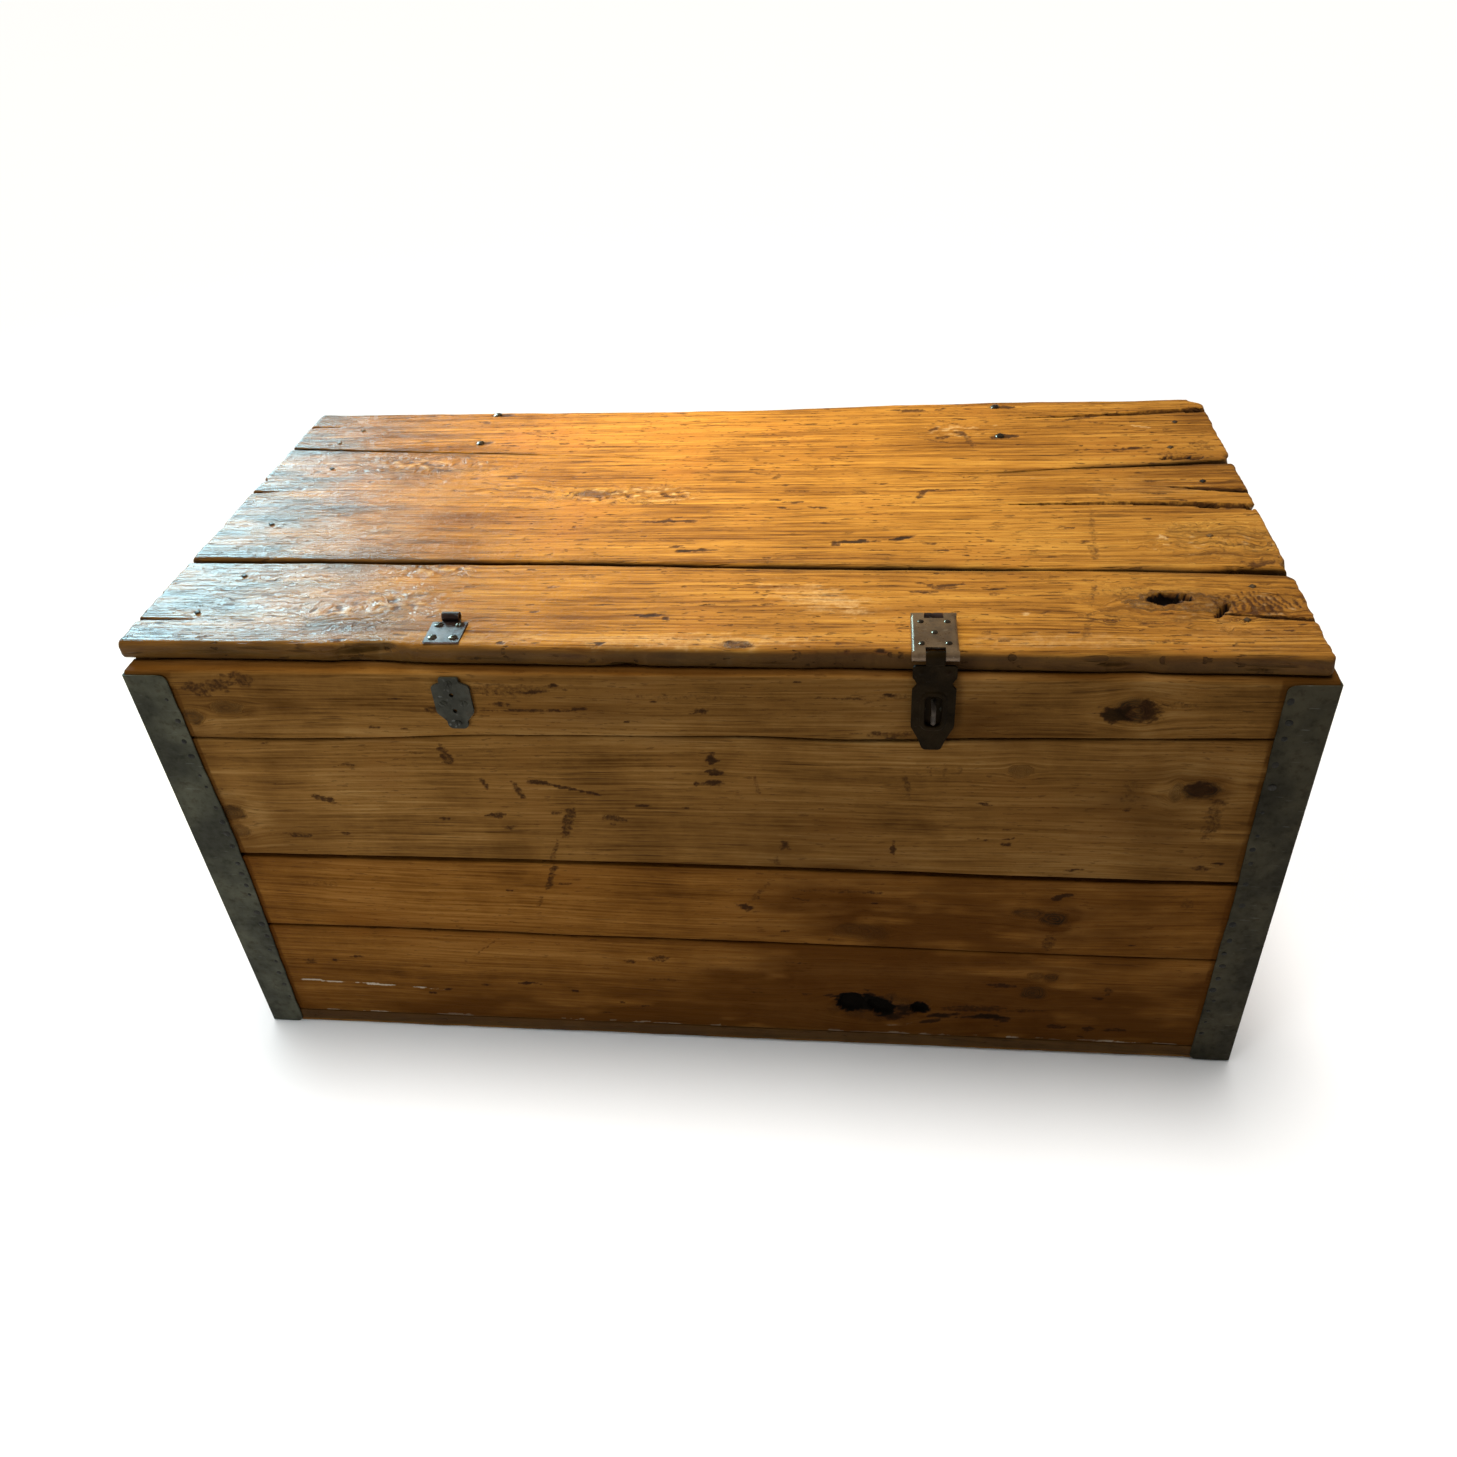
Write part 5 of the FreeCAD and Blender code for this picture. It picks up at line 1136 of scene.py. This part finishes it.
def barPiece(name, route, radius, flat, seed, sides=20):
    # a circle carried along a route that lies in one plane; flat is the plane's normal; the ends are domed
    along = np.gradient(route, axis=0)
    along /= np.linalg.norm(along, axis=1, keepdims=True)
    side = np.cross(along, flat)
    dome = np.sin(np.linspace(0.25, 1, 4) * np.pi / 2)
    swell = np.concatenate([dome, np.ones(len(route) - 2 * len(dome)), dome[::-1]])
    turn = np.linspace(0, 2 * np.pi, sides, endpoint=False)
    rows = np.arange(len(route))[:, None]
    thick = radius * swell[:, None] * (1 + stretched(rows, turn, seed, barNoise) - barNoise[0])
    ring = np.cos(turn)[None, :, None] * side[:, None] + np.sin(turn)[None, :, None] * np.array(flat, float)
    return closedPiece(name, (route[:, None] + thick[..., None] * ring) * mm)


headShape = {
    "plain": ([0.12, 0.4, 0.65, 0.85, 0.97, 1.0, 1.0], 10),  # radii of the rings, points in each
    "fine": ([*np.linspace(0.06, 0.96, 11), 1.0, 1.0], 36),
    "fullness": 0.55, "skirt": -0.6, "stretch": (0.88, 1.1), "lean": 0.08, "grooveDepth": 0.55,
    "grooveEdge": (0.62, 0.4), "grooveEnd": 0.95,
}


def headPieces(name, places, normal, radius, height, seed, groove=0.0, detail="fine", vary=0.0):
    # Low domes on a face: height falls with the square of the distance from the middle, a short skirt closes
    # them below the face. Each is stretched and tipped a little. A groove is pressed in where one is given,
    # turned at random.
    rng = np.random.default_rng(seed)
    places, normal = np.array(places, float), np.array(normal, float)
    count = len(places)
    radii, spokes = headShape[detail]
    rings = np.array(radii)
    turn = np.linspace(0, 2 * np.pi, spokes, endpoint=False)
    x, y = rings[:, None] * np.cos(turn), rings[:, None] * np.sin(turn)
    rise = np.maximum(1 - rings ** 2, 0.0)[:, None] ** headShape["fullness"] + 0 * turn
    rise[-1] = headShape["skirt"]
    stretch = rng.uniform(*headShape["stretch"], (count, 1, 1))
    radius = radius * (1 + vary * rng.uniform(-1, 1, (count, 1, 1)))
    lean = rng.normal(0, headShape["lean"], (2, count, 1, 1))
    way = rng.uniform(0, np.pi, (count, 1, 1))
    z = height * rise[None] + radius * (lean[0] * x + lean[1] * y) * (rise[None] > 0)
    if groove:
        off = np.abs(x * np.cos(way) + y * np.sin(way)) * radius
        outside, inside = [groove * share for share in headShape["grooveEdge"]]
        pressed = ease(outside, inside, off) * (rings < headShape["grooveEnd"])[None, :, None]
        z = z - headShape["grooveDepth"] * height * pressed
    first = np.cross(normal, [0, 1, 0] if abs(normal[1]) < 0.5 else [1, 0, 0])
    second = np.cross(normal, first)
    spots = places[:, None, None] + (radius * x * stretch)[..., None] * first
    spots = spots + (radius * y / stretch)[..., None] * second + z[..., None] * normal
    size = len(rings) * spokes
    quads = (gridQuads(len(rings), spokes)[None] + np.arange(count)[:, None, None] * size).reshape(-1, 4)
    caps = [ring + k * size for k in range(count) for ring in endRings(len(rings), spokes)]
    return meshPiece(name, spots.reshape(-1, 3) * mm, quads, caps)


# corner straps: bent sheet, dented by its nails, with wavy free edges
strap = {
    "sheet": 1.2, "bend": 1.8, "low": 1.0, "high": 458.0, "corner": 6.5, "short": 38.0, "rows": 240,
    "lip": 0.3, "nailRadius": 3.0, "nailHeight": 0.65, "nailSink": 0.72, "nailVary": 0.4, "nailFoot": 14,
    "nailTop": 446, "nailPitch": (13, 27), "nailInset": (4.6, 7.6), "dent": 0.6, "dentReach": 4.5,
    "curl": 0.5, "curlReach": 3.0, "most": 0.7, "turnOver": 3.0,
}
strapNoise = {  # amount, scale up, scale across, step of the seed, layers
    "edge": (0.0006, 30, 1, 0, 3), "swell": (0.22, 14, 40, 3, 3), "fine": (0.12, 70, 110, 4, 3),
    "curl": (1, 45, 1, 5, 1),
}


def strapNails(seed):  # heights of the nails in one flange, unevenly spaced
    rng = np.random.default_rng(seed)
    rises = strap["nailFoot"] + np.cumsum(rng.uniform(*strap["nailPitch"], 40))
    return rises[rises < strap["nailTop"]], rng


def strapPiece(name, signX, signY, edge, seed):
    # first parameter: height; second: round the section, from the free edge of the front flange over the bend
    # to the free edge of the end flange and back along the inside
    sizes = ("low", "high", "sheet", "bend", "corner", "lip")
    low, high, sheet, bend, corner, lip = [strap[key] * mm for key in sizes]
    close = np.array([0, 0.3, 0.8, 1.6, 2.6, 3.8, 5.2]) * mm
    middle = np.linspace(low + corner, high - corner, strap["rows"])
    z = np.concatenate([low + close, middle, high - close[::-1]])[:, None]
    fromEnd = np.minimum(np.minimum(z - low, high - z), corner)
    inset = corner - np.sqrt(corner ** 2 - (corner - fromEnd) ** 2)
    long = edge(z) - inset + stretched(z, 0.5, seed, strapNoise["edge"])
    short = strap["short"] * mm - inset + stretched(z, 7.5, seed, strapNoise["edge"])
    part, few = np.linspace(0, 1, 30)[None, :], np.linspace(0, 1, 8)[None, 1:-1]
    turn = np.linspace(0, np.pi / 2, 7)[None, 1:-1]
    start = bend - sheet
    flat = 0 * z
    sections = [
        (long + (start - long) * part, flat - sheet + 0 * part),
        (start - bend * np.sin(turn) + flat, start - bend * np.cos(turn) + flat),
        (flat - sheet + 0 * part, start + (short - start) * part),
        (flat - 0.5 * sheet, short + lip),
        (flat + 0 * few, short + (0 - short) * few),
        (flat, flat),
        (long * few, flat + 0 * few),
        (long + lip, flat - 0.5 * sheet),
    ]
    a, b = [np.concatenate([section[k] for section in sections], 1) for k in (0, 1)]
    column = np.arange(a.shape[1])[None, :]
    outside = 2 * part.size + turn.size  # columns of the two flanges and the bend
    onFlange = column < part.size + 3, column >= part.size + 3  # parted in the middle of the bend
    toFree = np.where(onFlange[0], long - a, short - b)
    relief = sum(stretched(z, a - b, seed, strapNoise[key]) for key in ("swell", "fine"))
    curl = np.maximum(stretched(z, 0.5, seed, strapNoise["curl"]), 0)
    relief = relief + strap["curl"] * np.exp(-np.maximum(toFree, 0) / (strap["curlReach"] * mm)) * curl
    nails = [], []
    for flange, (across, free) in enumerate(((a, long), (b, short))):
        rises, rng = strapNails(seed + 60 + flange)
        for rise in rises:
            level = np.argmin(np.abs(z[:, 0] - rise * mm))
            reach = free[level, 0] / mm - rng.uniform(*strap["nailInset"])
            far = np.hypot(across - reach * mm, z - rise * mm)
            dent = strap["dent"] * np.exp(-((far / (strap["dentReach"] * mm)) ** 2))
            relief = relief - dent * onFlange[flange]
            nails[flange].append((reach, rise))
    relief = np.clip(relief, -strap["most"], strap["most"]) * mm * (column < outside)
    lean = np.clip((a - b) / (strap["turnOver"] * mm), -1, 1)  # which flange a point belongs to
    a, b = a - relief * np.maximum(-lean, 0), b - relief * np.maximum(lean, 0)
    points = np.stack([signX * (trunk["halfLong"] - a), signY * (trunk["halfDeep"] - b), z + 0 * a], -1)
    halfLong, halfDeep = trunk["halfLong"] / mm, trunk["halfDeep"] / mm
    proud = strap["sheet"] - strap["nailSink"]
    front = [(signX * (halfLong - reach), signY * (halfDeep + proud), rise) for reach, rise in nails[0]]
    end = [(signX * (halfLong + proud), signY * (halfDeep - reach), rise) for reach, rise in nails[1]]
    return closedPiece(name, points), front, end


for k, (corner, edge) in enumerate(strapEdges.items()):
    signX, signY = 1 if corner.endswith("right") else -1, 1 if corner.startswith("back") else -1
    piece, front, end = strapPiece("corner_strap_" + corner + "_worn", signX, signY, edge, 700 + 31 * k)
    dress(piece, "box", "strap_steel", warmSteel if signX > 0 else strapSteel, "corner_strap_" + corner)
    for flange, places, normal in (("long", front, (0, signY, 0)), ("short", end, (signX, 0, 0))):
        heads = headPieces("strap_nails_" + corner + "_" + flange, places, normal, strap["nailRadius"],
                           strap["nailHeight"], 750 + k, detail="plain", vary=strap["nailVary"])
        dress(heads, "box", "nail_iron", sunkIron)
print("corner straps ready")


# hasp: slotted strap with a pressed rim round its slot, staple, heads of rivets and screws
hasp = {
    "at": 191.0, "axis": 483.9, "front": -256.0, "sheet": 1.8, "slot": (6.5, 15.0, 4.0, -51.0), "edge": 0.6,
    "rim": 0.9, "rimOut": (4.6, 3.2), "rimIn": (-0.2, 0.9), "bumpAt": (10.5, 13.0), "bumpSize": 4.0,
    "corners": [  # across, up from the pin, radius
        (17.5, -6.5, 3.0), (17.5, -18.5, 2.0), (14.2, -22.0, 2.0), (14.2, -25.0, 2.0), (17.5, -29.5, 2.0),
        (17.5, -67.0, 10.0), (11.5, -79.0, 4.0), (7.5, -90.5, 4.0)],
}
haspNoise = {"dents": (0.12, 0.16, 0.16, 811, 3), "fine": (0.05, 0.9, 0.9, 815, 3)}


def haspStrap():
    # first parameter: round the slot; second: from the slot's edge out over the front, round the outer edge
    # and back behind. The front rises into a rim beside the slot and into two bumps near the top.
    outline = roundedOutline(mirrored(hasp["corners"]))
    halfWide, halfTall, corner, middle = hasp["slot"]
    angle = np.unwrap(np.arctan2(outline[:, 0], outline[:, 1] - middle))
    angle = np.maximum.accumulate(angle) + np.arange(len(angle)) * 1e-6
    slotCorners = [(x, middle + y, corner) for x, y in ((halfWide, halfTall), (halfWide, -halfTall))]
    slot = roundedOutline(mirrored(slotCorners), 0.25)
    slotAngle = np.mod(np.unwrap(np.arctan2(slot[:, 0], slot[:, 1] - middle)), 2 * np.pi)
    order = np.argsort(slotAngle)
    ring, slot = slotAngle[order], slot[order]
    inner = np.stack([np.interp(angle, ring, column, period=2 * np.pi) for column in slot.T], -1)
    along = np.gradient(np.concatenate([outline[-1:], outline, outline[:1]]), axis=0)[1:-1]
    outward = np.stack([-along[:, 1], along[:, 0]], -1) / np.linalg.norm(along, axis=1, keepdims=True)
    outward *= np.sign(np.sum(outward * (outline - inner)))
    sheet, soft = hasp["sheet"], hasp["edge"]
    part, few = np.linspace(0, 1, 40), np.linspace(0, 1, 10)
    turn = np.linspace(0, np.pi / 2, 5)[1:]
    across = inner[:, None] + (outline - soft * outward - inner)[:, None] * part[None, :, None]
    edge = outline[:, None] - soft * (1 - np.sin(turn))[None, :, None] * outward[:, None]
    behind = outline[:, None] + (inner - outline)[:, None] * few[None, :, None]
    flat = np.concatenate([across, edge, behind], 1)
    x, z = flat[..., 0], flat[..., 1]
    depth = np.concatenate([0 * part, soft * (1 - np.cos(turn)), sheet + 0 * few])[None, :] + 0 * x
    qx, qz = np.abs(x) - halfWide + corner, np.abs(z - middle) - halfTall + corner
    toSlot = np.hypot(np.maximum(qx, 0), np.maximum(qz, 0)) + np.minimum(np.maximum(qx, qz), 0) - corner
    face = (depth < soft + 0.1) * 1.0
    raised = hasp["rim"] * ease(*hasp["rimOut"], toSlot) * ease(*hasp["rimIn"], toSlot)
    bumpX, bumpDown = hasp["bumpAt"]
    fromBumps = [(x - bumpX * side) ** 2 + (z + bumpDown) ** 2 for side in (-1, 1)]
    bumps = [np.exp(-(far / hasp["bumpSize"])) for far in fromBumps]
    worn = sum(stretched(x, z, 0, term) for term in haspNoise.values())
    front = hasp["front"] + depth - face * (raised + sum(bumps) + worn)
    points = np.stack([hasp["at"] + x, front, hasp["axis"] + z], -1) * mm
    return meshPiece("hasp_slotted_strap_worn", points.reshape(-1, 3), gridQuads(*x.shape, wrapRows=True))


knuckle = {
    "radius": 4.0, "behind": -252.0, "turns": (180, -65), "run": (-7.5, -7.4, -7.1, -6.6, 6.6, 7.1, 7.4, 7.5),
    "draw": (0.9, 0.95, 0.985, 1.0, 1.0, 0.985, 0.95, 0.9),
    "tongue": [
        (-252.9, 480.4), (-254.2, 479.4), (-254.2, 476.4), (-256.0, 476.4), (-256.0, 479.0), (-256.0, 481.5)],
}


def haspKnuckle():
    # an outline of tongue and roll, seen from the side, carried along the pin; its ends draw in a little
    turn = np.radians(np.linspace(*knuckle["turns"], 30))
    radius = knuckle["radius"]
    roll = np.stack([radius * np.cos(turn) + knuckle["behind"], radius * np.sin(turn) + hasp["axis"]], -1)
    outline = np.concatenate([roll, knuckle["tongue"]])
    middle = outline.mean(0)
    run, draw = [np.array(knuckle[key])[:, None, None] for key in ("run", "draw")]
    flat = middle + (outline - middle)[None] * draw
    along = np.broadcast_to(hasp["at"] + run, (len(run), len(outline), 1))
    return closedPiece("hasp_strap_roll", np.concatenate([along, flat], -1) * mm)


dress(haspStrap(), "hasp_strap", "hasp_iron", strapIron, "hasp_slotted_strap")
dress(haspKnuckle(), "hasp_strap", "hasp_iron", strapIron)

staple = {
    "back": -249.5, "front": -263.5, "top": 441.15, "foot": 424.65, "bend": 4.5, "radius": 1.98, "step": 0.6,
}
stapleRoute = [(hasp["at"], staple[y], staple[z]) for y, z in (
    ("back", "top"), ("front", "top"), ("front", "foot"), ("back", "foot"))]
stapleBar = bendPath(stapleRoute, staple["bend"], staple["step"])
piece = barPiece("staple_worn", stapleBar, staple["radius"], (1, 0, 0), 821)
dress(piece, "box", "hasp_iron", nailIron, "staple")

bail = {
    "out": 504.4, "top": 341.14, "foot": 279.14, "tip": 30, "half": 60, "bend": 9.0, "radius": 4.0,
    "step": 1.2,
}
for side, signX in (("left", -1), ("right", 1)):
    halfRoute = [(-bail["tip"], bail["top"]), (-bail["half"], bail["top"]), (-bail["half"], bail["foot"])]
    route = halfRoute + [(-y, z) for y, z in reversed(halfRoute)]
    bar = bendPath([(signX * bail["out"], y, z) for y, z in route], bail["bend"], bail["step"])
    piece = barPiece("handle_bail_" + side + "_worn", bar, bail["radius"], (1, 0, 0), 830)
    dress(piece, "handle_" + side, "handle_iron", hingeIron, "handle_bail_" + side)

heads = {  # body, slot, finish, face, radius, height, seed, width of the groove, places
    "hasp_cover_rivets": (
        "hasp_cover", "hasp_iron", rivetIron, (0, 0, 1), 2.7, 1.45, 841, 0.0,
        [(191, -223.75, 487.8)]
        + [(191 + x, -223.75 + y, 487.8) for x in (-10.75, 10.75) for y in (-16, 16)]),
    "hasp_base_screws": (
        "lid", "plate_steel", rivetIron, (0, 0, 1), 4.0, 1.7, 842, 1.1,
        [(at + x, y, 481.0) for at in (-217.5, 191.0) for x in (-9, 9) for y in (-224.5, -204.5)]),
    "staple_plate_screws": (
        "box", "plate_steel", darkPlate, (0, -1, 0), 3.4, 1.2, 843, 1.0,
        [(at + x, -251.9, 432.9 + z)
         for at in (-210.0, 191.0) for x, z in ((0, 20), (0, -21), (-9, 0), (9, 0))]),
    "hinge_rivets": (
        "lid", "hinge_iron", rivetIron, (0, 0, 1), 5.0, 2.3, 844, 0.0,
        [(x, y, 478.9) for x in (-291.0, 273.0) for y in (247.0, 170.0)]),
}
for node, (body, slot, finish, face, radius, height, seed, groove, places) in heads.items():
    dress(headPieces(node + "_worn", places, face, radius, height, seed, groove), body, slot, finish, node)
print("hasp and handles ready")


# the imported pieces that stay, each with its finish, by the start of the name
nodeFinishes = {
    "corner_post": postWood, "lid_batten_left": battenWood, "lid_batten_right": battenWood,
    "lid_batten_nails": lidNailIron, "hinge": hingeIron, "hasp_base": plateSteel,
    # painted shade: the right staple plate, seen through the hasp's slot, takes the near-black strap iron so
    # the slot reads dark
    "staple_plate_right": strapIron, "staple_plate": darkPlate, "hasp": haspIron, "handle": hingeIron,
}
for name, node in nodes.items():
    finish = next((value for key, value in nodeFinishes.items() if name.startswith(key)), None)
    if finish:
        node.data.materials.clear()
        node.data.materials.append(finish)


# stage: pale floor, soft lights, camera at the photograph's angle
stage = {
    "floor": (0.80, 0.80, 0.80), "floorHalf": 30, "floorLevel": -0.0006, "floorRough": 0.9,
    "skyTint": (1.0, 0.99, 0.97), "sky": 0.10, "backdrop": 0.98,
    "sun": {"from": (-0.05, 0.12, 1.0), "strength": 4.0, "soft": 24.0, "tint": (1.0, 0.98, 0.95)},
}
lights = {
    "window": {
        "at": (-2.45, 2.2, 1.75), "aim": (-0.45, -0.05, 0.48), "size": (1.6, 1.3), "power": 102,
        "tint": (0.44, 0.84, 1.0), "beam": 100, "glossy": True, "diffuse": False},
    "lamp": {
        "at": (-0.19, 0.25, 1.22), "aim": (-0.19, 0.23, 0.48), "size": (0.45, 0.2), "power": 5.9,
        "tint": (1.0, 0.90, 0.45), "beam": 110, "glossy": False, "diffuse": True},
    "side": {
        "at": (-0.95, -1.35, 0.65), "aim": (-0.3, -0.25, 0.32), "size": (0.6, 0.6), "power": 3.4,
        "tint": (0.90, 1.0, 1.05), "beam": 100, "glossy": False, "diffuse": True},
}
half, level = stage["floorHalf"], stage["floorLevel"]
floorMesh = bpy.data.meshes.new("floor")
corners = [(-half, -half, level), (half, -half, level), (half, half, level), (-half, half, level)]
floorMesh.from_pydata(corners, [], [[0, 1, 2, 3]])
floor = linked("floor", floorMesh)
floorFinish, floorShader, *_ = startFinish("paleFloor")
floorShader.inputs["Base Color"].default_value = colour(*stage["floor"])
floorShader.inputs["Roughness"].default_value = stage["floorRough"]
floorMesh.materials.append(floorFinish)

sky = bpy.data.worlds.new("studio")
sky.use_nodes = True
skyTree = sky.node_tree
backdrop = skyTree.nodes["Background"].inputs
backdrop["Color"].default_value = colour(*stage["skyTint"])
rays = skyTree.nodes.new("ShaderNodeLightPath")
seen = skyTree.nodes.new("ShaderNodeMapRange")  # the backdrop is pale to look at and dim as a light
skyTree.links.new(rays.outputs["Is Camera Ray"], seen.inputs["Value"])
seen.inputs["To Min"].default_value, seen.inputs["To Max"].default_value = stage["sky"], stage["backdrop"]
skyTree.links.new(seen.outputs[0], backdrop["Strength"])
bpy.context.scene.world = sky


def turnTo(thing, right, up, back, at):  # put a thing at a place with its own axes along three directions
    turned = np.eye(4)
    turned[:3] = np.stack([right, up, back, at], 1)
    thing.matrix_world = Matrix(turned.tolist())


def softLight(name, plan):  # a panel that looks from one place at another
    light = bpy.data.lights.new(name, "AREA")
    light.shape = "RECTANGLE"
    light.size, light.size_y = plan["size"]
    light.energy = plan["power"]
    light.color = plan["tint"]
    light.spread = np.radians(plan["beam"])
    panel = linked(name, light)
    away = np.array(plan["at"]) - np.array(plan["aim"])
    away /= np.linalg.norm(away)
    side = np.cross([0, 0, 1], away)
    side /= np.linalg.norm(side)
    turnTo(panel, side, np.cross(away, side), away, plan["at"])
    panel.visible_glossy, panel.visible_diffuse = plan["glossy"], plan["diffuse"]


for name, plan in lights.items():
    softLight(name, plan)
sunLight = bpy.data.lights.new("sun", "SUN")
sunLight.energy, sunLight.color = stage["sun"]["strength"], stage["sun"]["tint"]
sunLight.angle = np.radians(stage["sun"]["soft"])
sun = linked("sun", sunLight)
sun.visible_glossy = False
sun.rotation_euler = Vector(stage["sun"]["from"]).to_track_quat("Z", "Y").to_euler()

view = {
    "at": (0.1388, -1.0447, 1.0189), "right": (0.9933, 0.0992, -0.0593),
    "down": (0.01332, -0.60793, -0.79388), "ahead": (-0.1148, 0.78777, -0.60518), "lens": 29.75,
    "sensor": 36.0, "farthest": 100.0,
}
camera = bpy.data.cameras.new("camera")
camera.lens, camera.sensor_width, camera.clip_end = view["lens"], view["sensor"], view["farthest"]
eye = linked("camera", camera)
turnTo(eye, view["right"], -np.array(view["down"]), -np.array(view["ahead"]), view["at"])
bpy.context.scene.camera = eye
bpy.context.scene.view_settings.view_transform = "Standard"
print("stage ready")
